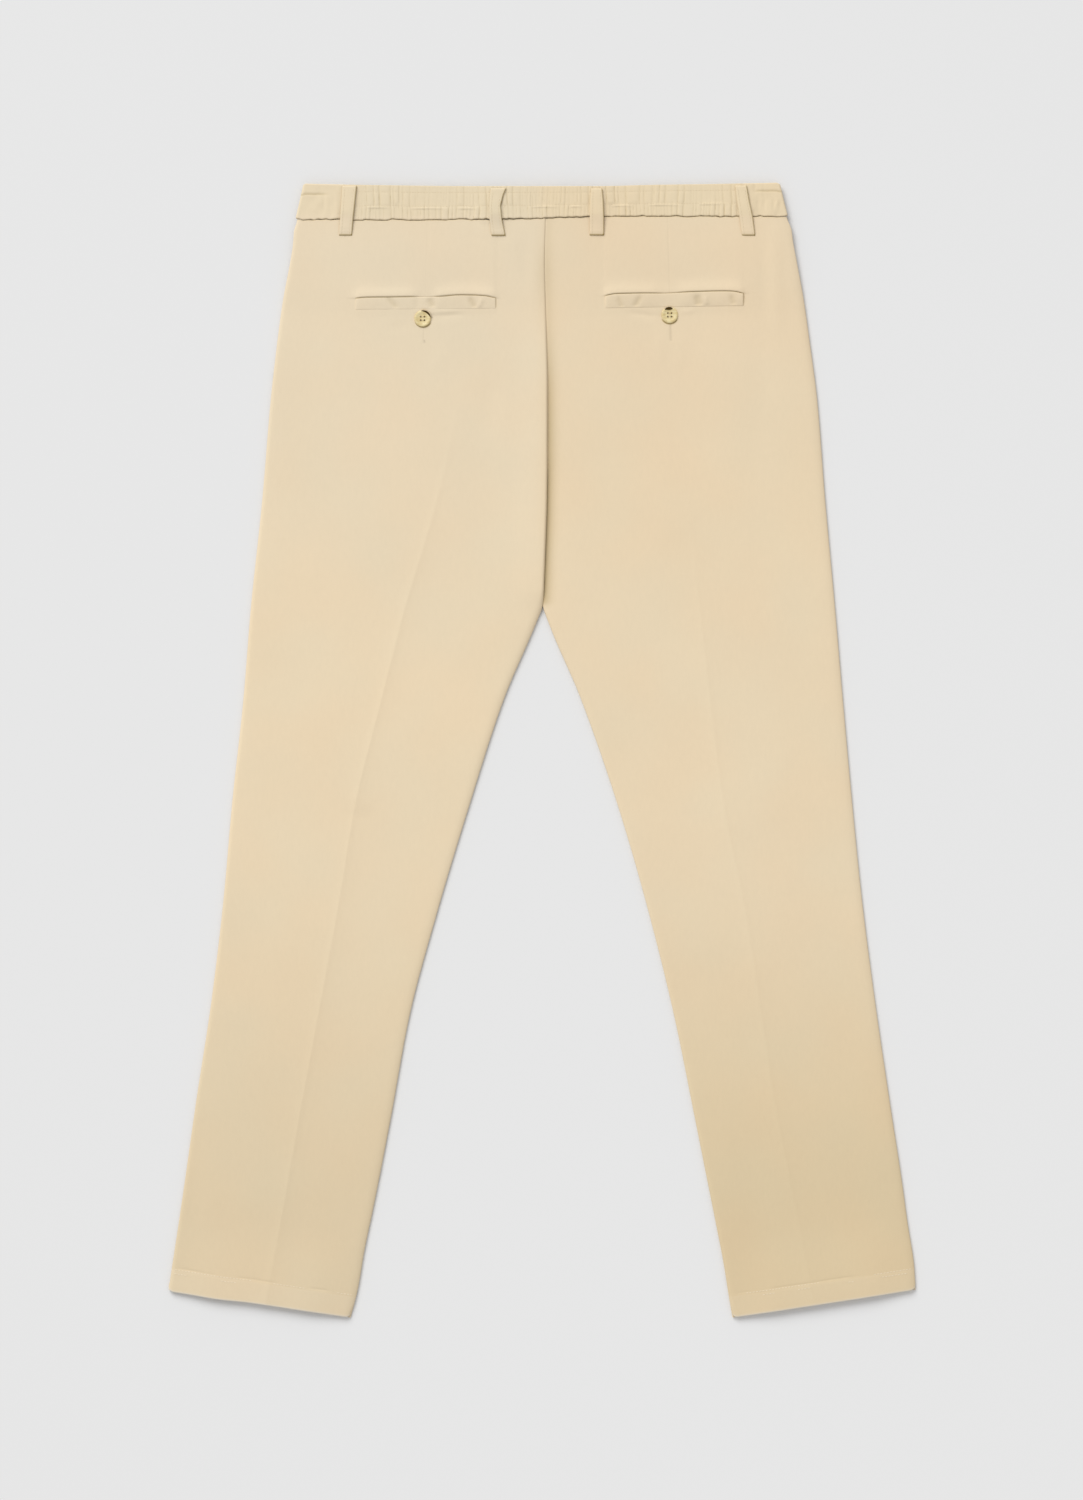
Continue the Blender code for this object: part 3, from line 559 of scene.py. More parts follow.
def make_cloth(name, node, points, wall, up, material=None, slot="twill", probe=None, shade=0):
    """A closed sheet of cloth: its outer surface, which at the probe column faces up or down, and
    its inner surface, a wall further in. The shade marks where it lies deep in a seam."""
    rows, columns = points.shape[:2]
    count = rows * columns
    normals = np.cross(np.gradient(points, axis=1), np.gradient(points, axis=0))
    normals /= np.maximum(np.linalg.norm(normals, axis=-1, keepdims=True), 1e-9)
    sign = 1 if normals[rows // 2, probe or columns // 2, 2] * up > 0 else -1
    wall = np.broadcast_to(np.asarray(wall, dtype=float), (rows, columns))
    inner = points - sign * normals * wall[..., None]
    index = np.arange(count).reshape(rows, columns)
    quads = np.stack((index[:-1, :-1], index[:-1, 1:], index[1:, 1:], index[1:, :-1]), axis=-1)
    outer_faces = quads.reshape(-1, 4)
    ring = np.concatenate((index[0, :], index[1:, -1], index[-1, -2::-1], index[-2:0:-1, 0]))
    following = np.roll(ring, -1)
    rim = np.stack((following, ring, ring + count, following + count), axis=-1)
    faces = np.concatenate((outer_faces, outer_faces[:, ::-1] + count, rim))
    if sign < 0:
        faces = faces[:, ::-1]
    mesh = make_mesh(np.concatenate((points.reshape(-1, 3), inner.reshape(-1, 3))), faces.tolist())
    cloth = make_piece(name, mesh, material or TWILL, node)
    values = np.zeros(2 * count, dtype=np.float32)
    values[:count] = np.broadcast_to(shade, (rows, columns)).ravel()
    mesh.attributes.new("shade", "FLOAT", "POINT").data.foreach_set("value", values)
    return cloth


def lay_along(line, pitch, length):
    """Middle points and directions of stitches laid along a line of points."""
    steps = np.linalg.norm(np.diff(line, axis=0), axis=1)
    way = np.concatenate(([0], np.cumsum(steps)))
    count = max(int((way[-1] - length) / pitch) + 1, 1)
    places = length / 2 + pitch * np.arange(count)
    middles, ahead, behind = (
        np.stack([np.interp(places + shift, way, line[:, k]) for k in range(3)], axis=1)
        for shift in (0, 0.3, -0.3)
    )
    directions = ahead - behind
    return middles, directions / np.linalg.norm(directions, axis=1, keepdims=True)


# A stitch of unit length and thickness: shares of both, then points along, beside and over its middle
THREAD_PROFILE = ((-0.5, 0.35), (-0.32, 0.95), (0, 1), (0.32, 0.95), (0.5, 0.35))
THREAD_POINTS = np.array([
    (along, share * math.cos(math.pi * k / 3), share * math.sin(math.pi * k / 3))
    for along, share in THREAD_PROFILE for k in range(6)
])
THREAD_FACES = np.array(
    [(a + k, a + k + 6, a + (k + 1) % 6 + 6, a + (k + 1) % 6) for a in (0, 6, 12, 18) for k in range(6)]
    + [(0, 1, 2, 3), (0, 3, 4, 5), (27, 26, 25, 24), (29, 28, 27, 24)]
)


def make_stitches(name, lines, pitch=3, length=2.2, radius=0.22, turned=False, thread=None):
    """A short plump thread at each stitch of the lines, half sunk in the cloth."""
    points = []
    for line in lines:
        for middle, direction in zip(*lay_along(line, pitch, radius if turned else length)):
            side = np.cross(direction, (0, 0, 1))
            side /= np.linalg.norm(side)
            if turned:
                direction, side = side, direction
            axes = np.stack((direction, side, np.cross(side, direction)))
            points.append(middle + THREAD_POINTS * (length, radius, radius) @ axes)
    faces = THREAD_FACES + len(THREAD_POINTS) * np.arange(len(points))[:, None, None]
    mesh = make_mesh(np.concatenate(points), faces.reshape(-1, 4).tolist())
    return make_piece(name, mesh, thread or THREAD, sharp=80)


# Materials


class Value:
    """A number that the nodes of a material work out, with the arithmetic of plain numbers."""

    def __init__(self, graph, socket):
        self.graph, self.socket = graph, socket

    def __add__(self, other):
        return self.graph.math("ADD", self, other)

    def __sub__(self, other):
        return self.graph.math("SUBTRACT", self, other)

    def __mul__(self, other):
        return self.graph.math("MULTIPLY", self, other)

    __radd__ = __add__


class Graph:
    """Nodes of one material."""

    def __init__(self, name):
        self.material = bpy.data.materials.new(name)
        self.material.use_nodes = True
        self.tree = self.material.node_tree
        self.place = self.node("TexCoord")["Object"]

    def put(self, socket, value):
        value = value.socket if isinstance(value, Value) else value
        if isinstance(value, bpy.types.NodeSocket):
            self.tree.links.new(value, socket)
        else:
            socket.default_value = value

    def node(self, kind, inputs=(), **settings):
        """Outputs of a new node."""
        node = self.tree.nodes.new("ShaderNode" + kind)
        for key, value in settings.items():
            setattr(node, key, value)
        for key, value in dict(inputs).items():
            self.put(node.inputs[key], value)
        return node.outputs

    def math(self, operation, *values):
        return Value(self, self.node("Math", enumerate(values), operation=operation)[0])

    def axes(self):
        """x and y in millimetres."""
        split = self.node("SeparateXYZ", {"Vector": self.place})
        return [Value(self, split[k]) * 1000 for k in range(2)]

    def noise(self, pitch, detail=2, stretch=(1, 1, 1)):
        """Noise from 0 to 1 with features of about that many millimetres."""
        sized = self.node("Mapping", {"Vector": self.place, "Scale": stretch})[0]
        texture = self.node("TexNoise", {"Vector": sized, "Scale": 1000 / pitch, "Detail": detail})
        return Value(self, texture["Fac"])

    def ramp(self, value, start, end):
        """0 at the start and 1 at the end, soft between them and level beyond."""
        inputs = {"Value": value, "From Min": start, "From Max": end}
        return Value(self, self.node("MapRange", inputs, interpolation_type="SMOOTHSTEP")[0])

    def blend(self, share, a, b):
        """A colour between two others, which are the sixth and seventh of the node's inputs."""
        return self.node("Mix", {"Factor": share, 6: a, 7: b}, data_type="RGBA")[2]

    def tint(self, colour, factors):
        """A colour multiplied by a factor for each of its channels."""
        return self.node("VectorMath", {0: colour, 1: factors}, operation="MULTIPLY")[0]

    def shade(self, colour, value):
        """A colour made lighter or darker by a factor."""
        return self.node("VectorMath", {0: colour, "Scale": value}, operation="SCALE")[0]

    def line(self, x, y, x0, y0, x1, y1, width):
        """1 on the line between two points, falling to 0 at the width."""
        length = math.hypot(x1 - x0, y1 - y0)
        dx, dy = (x1 - x0) / length, (y1 - y0) / length
        px, py = x - x0, y - y0
        along = px * dx + py * dy
        beyond = along - self.math("MAXIMUM", self.math("MINIMUM", along, length), 0)
        off = px * dy - py * dx
        return self.ramp(self.math("SQRT", off * off + beyond * beyond), width, 0)

    def rim(self, dx, dy, radius, width):
        """1 on the lower half of a circle, falling to 0 at the width."""
        off = self.math("ABSOLUTE", self.math("SQRT", dx * dx + dy * dy) - radius)
        return self.ramp(off, width, 0) * self.ramp(dy, -2.5, -5.5)

    def finish(self, colour, bump, constants):
        """The material, with its colour, its bump as strength, distance and height, and its constants."""
        shader = self.tree.nodes["Principled BSDF"]
        self.put(shader.inputs["Base Color"], colour)
        if bump:
            relief = self.node("Bump", zip(("Strength", "Distance", "Height"), bump))
            self.put(shader.inputs["Normal"], relief[0])
        for name, value in constants.items():
            shader.inputs[name].default_value = value
        return self.material


# The cloth's colour changes with height and darkens towards the hem: painted shade for the light falling off
# down the garment
HIP_COLOUR = (0.770, 0.640, 0.458, 1)
THIGH_COLOUR = (0.806, 0.664, 0.463, 1)
HEM_COLOUR = (0.728, 0.592, 0.386, 1)
SHADE_COLOUR = (0.30, 0.205, 0.03, 1)
RIM_COLOUR = (0.80, 0.72, 0.58, 1)
WALE_PITCH = 0.72
WALE_LEAN = math.radians(58)
YARN_PITCH = 0.55
BUTTON_SHADE = (7.9, 1.1)       # radius and width of the shade round the lower half of a back button
HEM_SLOPE, HEM_MIDDLE = 0.153, -529.8   # the pale hem ends on y = HEM_MIDDLE + HEM_SLOPE * abs(x)

# Fine lines sewn or pressed into the back: from x, y to x, y, half width and strength.
# Along them the colour is darkened as painted shade, and lightened as a painted highlight where the strength
# is negative.
DARTS = (
    (-104.9, 489, -107, 420, 1.1, 0.1), (-101.5, 487, -102, 462, 1, -0.1),
    (-108.2, 392, -108.6, 376, 1, 0.35), (-107.4, 378.2, -107.1, 376.6, 1.5, 0.9),
    (116.5, 490, 118.5, 421, 1.1, 0.22), (119.4, 392, 119.8, 379, 2.2, 0.75),
)


def make_twill(name, lines=()):
    """Cotton twill: steep wales of yarn, slightly uneven colour and a soft nap, with painted shade towards
    the hems and in the seams.
    """
    graph = Graph(name)
    x, y = graph.axes()
    slant, rise = math.cos(WALE_LEAN) / WALE_PITCH, math.sin(WALE_LEAN) / WALE_PITCH
    wale = graph.math("SINE", (x * slant + y * rise + graph.noise(9) * 1.1) * (2 * math.pi))
    weave = wale + graph.math("SINE", y * (2 * math.pi / YARN_PITCH)) * 0.35
    slub = graph.noise(2.4, 3, (1, 0.35, 1))

    # Painted shade: the colour darkens from the thigh towards the hem, where the light falls off
    colour = graph.blend(graph.ramp(y, 480, 0), HIP_COLOUR, THIGH_COLOUR)
    colour = graph.blend(graph.ramp(y, -90, -440), colour, HEM_COLOUR)
    on_hip, on_calf = graph.ramp(y, 60, 260), graph.ramp(y, -120, -420)
    tints = (
        (on_hip * graph.ramp(x, -6, 10), (1.010, 0.995, 0.972)),
        (on_hip * graph.ramp(x, 6, -10), (0.996, 1.006, 1.016)),
        (graph.ramp(y, 490, 496), (0.975, 0.984, 0.962)),
        (on_calf * graph.ramp(x, -96, -120), (1.018, 1.023, 1.056)),
        (on_calf * graph.ramp(x, 96, 120), (1.004, 0.992, 0.976)),
    )
    for share, factors in tints:
        colour = graph.blend(share, colour, graph.tint(colour, factors))
    blotch = graph.ramp(graph.noise(85, 1), 0.25, 0.75)
    cooler = graph.tint(colour, (0.992, 1.004, 1.010))
    colour = graph.blend(blotch, cooler, graph.tint(colour, (1.010, 0.995, 0.982)))
    deep = Value(graph, graph.node("Attribute", attribute_name="shade")["Fac"])
    colour = graph.blend(graph.ramp(deep, 0, -1), colour, RIM_COLOUR)
    colour = graph.blend(graph.math("MAXIMUM", deep, 0), colour, SHADE_COLOUR)
    in_hem = graph.ramp(graph.math("ABSOLUTE", x) * HEM_SLOPE + HEM_MIDDLE - y, -0.6, 0.8)
    colour = graph.blend(in_hem, colour, graph.tint(colour, (1.024, 1.034, 1.062)))
    light = 1
    for value, middle, strength in ((weave, 0, 0.012), (slub, 0.5, 0.04), (graph.noise(120), 0.5, 0.06)):
        light = light + (value - middle) * strength
    relief = weave * 0.5 + slub
    if lines:
        groove = 0
        for *line, strength in lines:
            mark = graph.line(x, y, *line) * strength
            groove = groove + mark
            # Painted shade along each line, a painted highlight where its strength is negative
            light = light - mark * 0.16
        for middle_x, middle_y in BUTTONS.values():
            rim = graph.rim(x - middle_x, y - middle_y, *BUTTON_SHADE)
            colour = graph.blend(rim * 0.75, colour, SHADE_COLOUR)
        relief = relief - groove * 4
    return graph.finish(graph.shade(colour, light), (0.45, 0.00012, relief), {
        "Roughness": 0.9, "Specular IOR Level": 0.2, "Sheen Weight": 0.12, "Sheen Roughness": 0.45,
    })


def make_thread(name, colour, gloss=0.3):
    """Twisted sewing thread, also used for the dark sheet of painted shadow in a buttonhole's mouth."""
    graph = Graph(name)
    x, y = graph.axes()
    twist = graph.math("SINE", (x + y) * 14)
    colour = graph.shade(colour, twist * 0.05 + 1 + graph.noise(3) * 0.08)
    return graph.finish(colour, (0.4, 0.0001, twist), {"Roughness": 0.75, "Specular IOR Level": gloss})


def make_horn(name):
    """Yellowish horn with soft cloudy streaks, polished."""
    graph = Graph(name)
    cloud = graph.noise(5, 3, (1, 2.2, 1))
    colour = graph.blend(graph.ramp(cloud, 0.35, 0.7), (0.66, 0.52, 0.25, 1), (0.78, 0.665, 0.385, 1))
    fleck = graph.ramp(graph.noise(1.1, 1), 0.58, 0.72)
    colour = graph.blend(fleck * 0.35, colour, (0.42, 0.30, 0.13, 1))
    return graph.finish(colour, (0.15, 0.0001, cloud), {
        "Roughness": 0.42, "Specular IOR Level": 0.35, "Coat Weight": 0.12, "Coat Roughness": 0.2,
    })


TWILL = make_twill("twill_cloth")
TWILL_BACK = make_twill("twill_cloth_back", DARTS)
THREAD = make_thread("sewing_thread", (0.66, 0.54, 0.36))
PALE_THREAD = make_thread("hem_thread", (0.86, 0.76, 0.60))
# The dark sheet in each buttonhole's mouth: painted shadow
PAINTED_BUTTONHOLE_SHADOW = make_thread("buttonhole_shadow", (0.060, 0.034, 0.008), 0)
HORN = make_horn("horn")


# Back panels

# Rows of stitches at the hem: height, seed and least value of the noise where they show
HEM_ROWS = ((HEM_FOLD_Y, 31, 0), (HEM_FOLD_Y - 3.4, 34, 0.3))


def make_back(side):
    y, columns = BACK_LEVELS[:, None], back_columns(side, BACK_LEVELS)
    points = back_surface(side, y, columns)
    shade = back_shade(side, y, columns, points)
    panel = make_cloth(f"back_panel_{side}", f"back_{side}", points, CLOTH, 1, TWILL_BACK, shade=shade)
    lines = []
    for height, seed, least in HEM_ROWS:
        line = back_surface(side, height, np.linspace(3, width_at(side, height) - 3, 180))
        shown = soft_noise(line[:, 0], 0, 15, seed) > least
        turns = np.flatnonzero(np.diff(shown)) + 1
        runs = zip(np.split(line, turns), np.split(shown, turns))
        lines += [run for run, on in runs if on[0] and len(run) > 3]
    return panel, make_stitches(f"hem_stitches_back_{side}", lines, thread=PALE_THREAD, radius=0.24)


# Front panels and pocket facings


def mouth_distance(y):
    return mix(MOUTH_FOOT_WIDTH, MOUTH_TOP_WIDTH, (y - MOUTH_FOOT) / (WAIST_Y - MOUTH_FOOT))


def mouth_start(y):
    """How far in from the side seam the front panel starts."""
    return np.where(y > MOUTH_FOOT, mouth_distance(y), 0)


def fly_lap(side, y):
    return FLY_LAP * ramp(FLY_FOOT, FLY_FOOT + FLY_FADE, y) if side == "left" else y * 0


def front_surface(side, y, distance):
    """Points of the front's outer surface, which faces down."""
    y, distance = np.broadcast_arrays(y, distance)
    x, plan_y = plan_point(side, y, distance)
    width = width_at(side, y)
    z = front_height(y) + FRONT_STAND + 0.05 * soft_noise(x, plan_y, 40, 8)
    if side == "right":
        along = ramp(FLY_FOOT - FLY_FADE, FLY_FOOT, y)
        across = ramp(FLY_LAP + 1.5 + FLY_RAMP, FLY_LAP + 1.5, width - distance)
        z = z + LAP_STEP * along * across
    from_crease = abs(distance - width / 2)
    crease = 0.4 * bell(from_crease - 5, 4) * ramp(LIFT_END, FLY_FOOT, y)
    z = z + crease + 0.25 * bell(y - HEM_FOLD_Y, 1)
    outer_seam, inner_seam = (seam_height(side, edge, y) - HALF_GAP for edge in (OUTER, INNER))
    side_edge = np.where(y > MOUTH_FOOT, z + FREE_LOW, outer_seam)
    side_roll = np.where(y > MOUTH_FOOT, FREE_ROLL, FRONT_ROLL)
    end = width + fly_lap(side, y)
    inner_edge = mix(z + FREE_LOW, inner_seam, inseam_share(y))
    inner_roll = mix(FREE_ROLL, FRONT_ROLL, inseam_share(y))
    z = mix(side_edge, z, roll((distance - mouth_start(y)) / side_roll))
    z = mix(inner_edge, z, roll((end - distance) / inner_roll))
    return stack(x, plan_y, z)


FRONT_EDGE = (0, 0.3, 0.8, 1.6, 2.6, 3.8, 6, 9.5)
FRONT_CREASE = (-12, -8, -5, -2.5, 0, 2.5, 5, 8, 12)
FRONT_SPAN = 22
FRONT_LEVELS = levels(
    HEM_Y, 0.5, HEM_Y + 1.5, 4, HEM_FOLD_Y - 2, 0.8, HEM_FOLD_Y + 2, 5, MOUTH_FOOT, 1, MOUTH_FOOT + 1,
    4, WAIST_Y - SEAM_GAP,
)


def front_columns(side, y):
    width, spans = width_at(side, y), [np.arange(1, FRONT_SPAN) / FRONT_SPAN] * 2
    end = width + fly_lap(side, y)
    return panel_columns(mouth_start(y), width / 2, end, FRONT_EDGE, FRONT_CREASE, spans)


def fly_stitch_line(inset):
    """The curved row of stitches beside the fly, from the waist to the foot of the fly."""
    heights = np.linspace(WAIST_Y - 3, FLY_FOOT + 12, 60)
    from_foot = (heights - FLY_FOOT - 14 - inset) / FLY_STITCH_BEND
    distance = width_at("left", heights) - (FLY_STITCH_REACH - inset) * roll(from_foot) + 4
    return front_surface("left", heights, distance)


def make_front(side):
    points = front_surface(side, FRONT_LEVELS[:, None], front_columns(side, FRONT_LEVELS))
    panel = make_cloth(f"front_panel_{side}", f"front_{side}", points, FRONT_CLOTH, -1)
    heights = np.linspace(MOUTH_FOOT + 3, WAIST_Y - 2, 40)
    lines = [
        front_surface(side, HEM_FOLD_Y, np.linspace(3, width_at(side, HEM_FOLD_Y) - 3, 90)),
        front_surface(side, heights, mouth_distance(heights) + 6),
    ]
    if side == "left":
        lines += [fly_stitch_line(0), fly_stitch_line(5)]
    stitches = make_stitches(f"front_stitches_{side}", lines, radius=0.16)
    tacks = [
        front_surface(side, height, mouth_distance(height) + np.linspace(0.5, 8, 12))
        for height in (MOUTH_FOOT + 5, WAIST_Y - 9)
    ]
    bars = make_stitches(f"pocket_tacks_{side}", tacks, pitch=0.5, radius=0.18, turned=True)
    return panel, [stitches, bars]


def make_facing(side):
    y = levels(FACING_FOOT, 4, WAIST_Y - SEAM_GAP)[:, None]
    mouth = mouth_distance(y)
    step_start, step_end = mouth - FACING_STEP[0], mouth - FACING_STEP[1]
    distance = np.hstack((
        y * 0 + FRONT_EDGE[:6],
        mix(3.9, step_start, np.linspace(0, 1, 8)),
        mix(step_start, step_end, np.linspace(0.1, 1, 8)),
        mix(step_end, mouth + FACING_REACH, np.linspace(0.2, 1, 4)),
    ))
    x, plan_y = plan_point(side, y, distance)
    seam = seam_height(side, OUTER, y) - HALF_GAP
    z = front_height(y) + LAP_STEP * ramp(step_start, step_end, distance)
    points = stack(x, plan_y, mix(seam, z, roll(distance / FRONT_ROLL)))
    return make_cloth(f"pocket_inset_{side}", f"pocket_facing_{side}", points, FRONT_CLOTH, -1)


# Waistband


def waist_line(x):
    """y of the seam between the panels and the waistband, which wanders a little."""
    wander = sum(reach * soft_noise(x, 0, pitch, seed) for reach, pitch, seed in WAIST_WANDER)
    calm = mix(1, 0.45, near(abs(x - 22), 34))
    return np.interp(x, WAIST_LINE[0], WAIST_LINE[1]) + calm * wander


def band_foot(x):
    return waist_line(x) + HALF_GAP


def band_top(x):
    rise = BAND_TOP_RISE * np.minimum(abs(x) / BAND_SIDE_TOP, 1) ** 2
    corner = BAND_CORNER * near(BAND_SIDE_TOP - abs(x), 3.5)
    return BAND_TOP_Y + rise + 0.9 * ramp(50, 110, x) - corner


def band_height(x):
    swell = ramp(SWELL_END, SWELL_START, abs(x))
    return BAND_TOP_Z + (BAND_CLOTH + SEAM_GAP) * swell


def make_valleys():
    """Places and heights of the puffs between the gathers, below and above the middle stitches."""
    random = np.random.default_rng(21)
    start, end = BAND_JOIN["left"] - 4, BAND_JOIN["right"] + 6
    common = [start]
    while common[-1] < end:
        common.append(common[-1] + random.choice((2.2, 3, 3.9, 5, 7)) + random.uniform(-0.5, 0.5))
    zones = []
    for extra in (0.45, 0.15):
        places = [common[0]]
        for place, after in zip(common[1:], common[2:] + [end + 8]):
            if random.random() < 0.88:
                places.append(place + random.uniform(-0.5, 0.5))
            if random.random() < extra and after - place > 4:
                places.append(mix(place, after, random.uniform(0.35, 0.65)))
        zones.append((np.array(places), random.uniform(0.25, 1, len(places))))
    return zones


VALLEYS = make_valleys()

# Where the band lies smoother above its lower row of stitches: middle, reach and how much smoother
SMOOTH_PLACES = ((152, 30, 0.85), (-92, 34, 0.45), (-62, 22, 0.35))


def gathers(x, share):
    """Height of the gathers, and the strength of the painted shade deep between them, from 0 to 1."""
    x, share = np.broadcast_arrays(x, share)
    row = STITCH_ROWS[0] + 0.08 * soft_noise(x, 0, 11, 33)
    upper = ramp(row - 0.09, row + 0.09, share)
    height, depth = np.zeros(x.shape), np.zeros(x.shape)
    smooth = 1 - sum(strength * near(abs(x - middle), reach) for middle, reach, strength in SMOOTH_PLACES)
    for (places, sizes), weight in zip(VALLEYS, (1 - upper, upper * smooth)):
        at = x + 0.5 * np.sin(4 * share + x / 17)
        i = np.clip(np.searchsorted(places, at) - 1, 0, len(places) - 2)
        half = (places[i + 1] - places[i]) / 2
        u = np.clip(abs(at - places[i] - half) / half, 0, 1)
        puff = (1 - u**3) ** 0.8
        fade = mix(1, 0.55, ramp(0.6, 1, share) * np.sin(9 * sizes[i]) ** 2)
        size = sizes[i] * np.minimum(half / 2.3, 1.1) * fade
        height += weight * GATHER_HEIGHT * size * puff
        depth += weight * GATHER_SHADE * size * (1 - puff) ** 2
    pinch = 1 - 0.3 * sum(bell((share - row) * BAND_HEIGHT, 1) for row in STITCH_ROWS)
    ends = np.minimum(x - BAND_JOIN["left"], BAND_JOIN["right"] - x)
    fade = pinch * mix(0.4, 1, ramp(0, 10, ends))
    return height * fade, depth * fade


def band_point(x, share, z):
    """Points of the waistband at the given x and share of its height."""
    return stack(x, mix(band_foot(x), band_top(x), share), z)


def band_edges(x, share):
    """How far the waistband rolls in at its lower and upper edges."""
    height = band_top(x) - band_foot(x)
    return 0.9 * fall(share * height, 1.3) + 0.7 * fall((1 - share) * height, 0.9)


# Ridges that the rows of stitches push up here and there, with the dip below each
BAND_FOLDS = tuple(
    (x0, y + dy, x1, y, width, height)
    for x0, x1, y in (
        (-119, -88, 499.8), (-76, -60, 499.6), (-8, 16, 501), (27, 38, 501.2),
        (66, 84, 502.2), (146, 174, 503.8), (-160, -140, 500.6), (100, 128, 503),
    )
    for dy, width, height in ((0, 0.9, 0.50), (-1.5, 0.8, -0.16))
)


def back_band_surface(x, share):
    height, _ = gathers(x, share)
    points = band_point(x, share, band_height(x) + height - band_edges(x, share))
    points[..., 2] += 0.12 * soft_noise(x, share * BAND_HEIGHT, 16, 9)
    points[..., 2] += folds(points[..., 0], points[..., 1], BAND_FOLDS)
    return points


BAND_SHARES = np.concatenate(([0, 0.008, 0.025, 0.05], np.linspace(0.08, 0.92, 35), [0.95, 0.975, 0.992, 1]))
BAND_SHARES = BAND_SHARES[:, None]


def make_back_band():
    start, end = BAND_JOIN["left"] + HALF_GAP, BAND_JOIN["right"] - HALF_GAP
    x = np.linspace(start, end, 620)[None, :]
    ends = bell(BAND_SHARES, 0.02) + 0.5 * bell(1 - BAND_SHARES, 0.03)
    # Painted shade in the valleys between the gathers and along the band's lower and upper edges
    shade = 0.32 * gathers(x, BAND_SHARES)[1] + 0.25 * ends
    points = back_band_surface(x, BAND_SHARES)
    band = make_cloth(
        "gathered_band", "waistband_back", points, BAND_CLOTH, 1, slot="gathered_twill", shade=shade
    )
    columns = np.linspace(start + 2, end - 2, 600)
    lines = [back_band_surface(columns, row) for row in STITCH_ROWS]
    return band, make_stitches("gathered_band_stitches", lines, 2.6, 1.8, 0.13)


BAND_UNDER, BAND_OVER = 94, 48      # columns of a front band below and above its turn
BAND_TURNS = np.linspace(-90, 90, 19)


def front_band_surface(side, share):
    """Points of one row of a front band's outer surface, from its free end round the side to the back,
    its edges rolled in."""
    end, turn_x = BAND_END[side], mix(BAND_SIDE_FOOT, BAND_SIDE_TOP, share) - BAND_INSET[side] - BAND_TURN
    under = np.concatenate((end + np.array([0, 0.15, 0.5, 1]), np.linspace(end + 1.8, 214, BAND_UNDER - 4)))
    over = np.linspace(turn_x - 0.8, abs(BAND_JOIN[side]) + HALF_GAP, BAND_OVER)
    angles = np.concatenate((np.full(BAND_UNDER, -90), BAND_TURNS, np.full(BAND_OVER, 90)))
    out, up = np.cos(np.radians(angles)), np.sin(np.radians(angles))
    x = WAY[side] * (np.concatenate((under, turn_x + 0 * BAND_TURNS, over)) + BAND_TURN * out)
    z = FRONT_LIFT + BAND_TURN * (1 + up)
    if side == "right":
        z[:BAND_UNDER] += (BAND_CLOTH + SEAM_GAP) * ramp(35, 17, under)
    row = band_point(x, share, z)
    on_back, from_row = ramp(40, 90, angles), (share - END_ROW[side]) * PLAIN_BAND_HEIGHT
    row_part = on_back * ramp(193, 204, abs(x))
    depth = band_edges(x, share) * 0.8 + 0.36 * row_part * bell(from_row, 0.9)
    row[:, 0] -= WAY[side] * out * depth
    row[:, 2] -= up * depth
    reach = ramp(210, 194, abs(x))
    if side == "right":
        reach = np.maximum(reach, 1.4 * ramp(0.6, 0.35, share) * ramp(226, 217, abs(x)))
    puckers = 0.42 * soft_noise(x, share * 6, 2.9, 13) * reach
    row[:, 2] += on_back * (0.22 * soft_noise(x, share * BAND_HEIGHT, 7, 12) + puckers)
    return row


def make_front_band(side):
    points = np.stack([front_band_surface(side, share) for share in BAND_SHARES[:, 0]])
    turn_end = BAND_UNDER + len(BAND_TURNS)
    on_back = np.arange(points.shape[1]) > turn_end - len(BAND_TURNS) / 2
    fade = ramp(193, 204, abs(points[..., 0]))
    row = 0.30 * fade * bell((BAND_SHARES - END_ROW[side]) * PLAIN_BAND_HEIGHT, 0.8)
    shade = (row + 0.25 * bell(BAND_SHARES, 0.02)) * on_back
    names = f"plain_band_{side}", f"waistband_front_{side}"
    band = make_cloth(*names, points, BAND_CLOTH, -1, probe=40, shade=shade)
    lines = [front_band_surface(side, share)[3 : BAND_UNDER - 2] for share in (0.06, 0.94)]
    lines.append(front_band_surface(side, END_ROW[side])[turn_end + 1 : turn_end + 21])
    return band, make_stitches(f"plain_band_stitches_{side}", lines)


# Belt loops: rows of y, left edge and right edge, from the foot to the top
LOOPS = {
    "loop_back_1": ((474.9, -186.2, -174.2), (489.4, -185.1, -173), (520.6, -183, -169.6)),
    "loop_back_2": (
        (474.6, -45.6, -32.6), (489.4, -47.4, -35.9), (502.3, -47.7, -37.2), (512, -47, -34.6),
        (518, -46.4, -32),
    ),
    "loop_back_3": ((475, 44.7, 58), (491, 44.8, 58), (507, 45.2, 57.4), (518, 46.2, 56.2)),
    "loop_back_4": ((474.8, 185, 197.4), (492, 182.7, 195), (507, 180.4, 191.7), (520.8, 178.8, 189.4)),
    "loop_front_left": ((474.5, -118, -106), (518.8, -118, -106)),
    "loop_front_right": ((474.5, 106, 118), (518.8, 106, 118)),
}
LOOP_ACROSS = np.array([0, 0.02, 0.06, 0.13, 0.22, 0.32, 0.41, 0.5, 0.59, 0.68, 0.78, 0.87, 0.94, 0.98, 1])


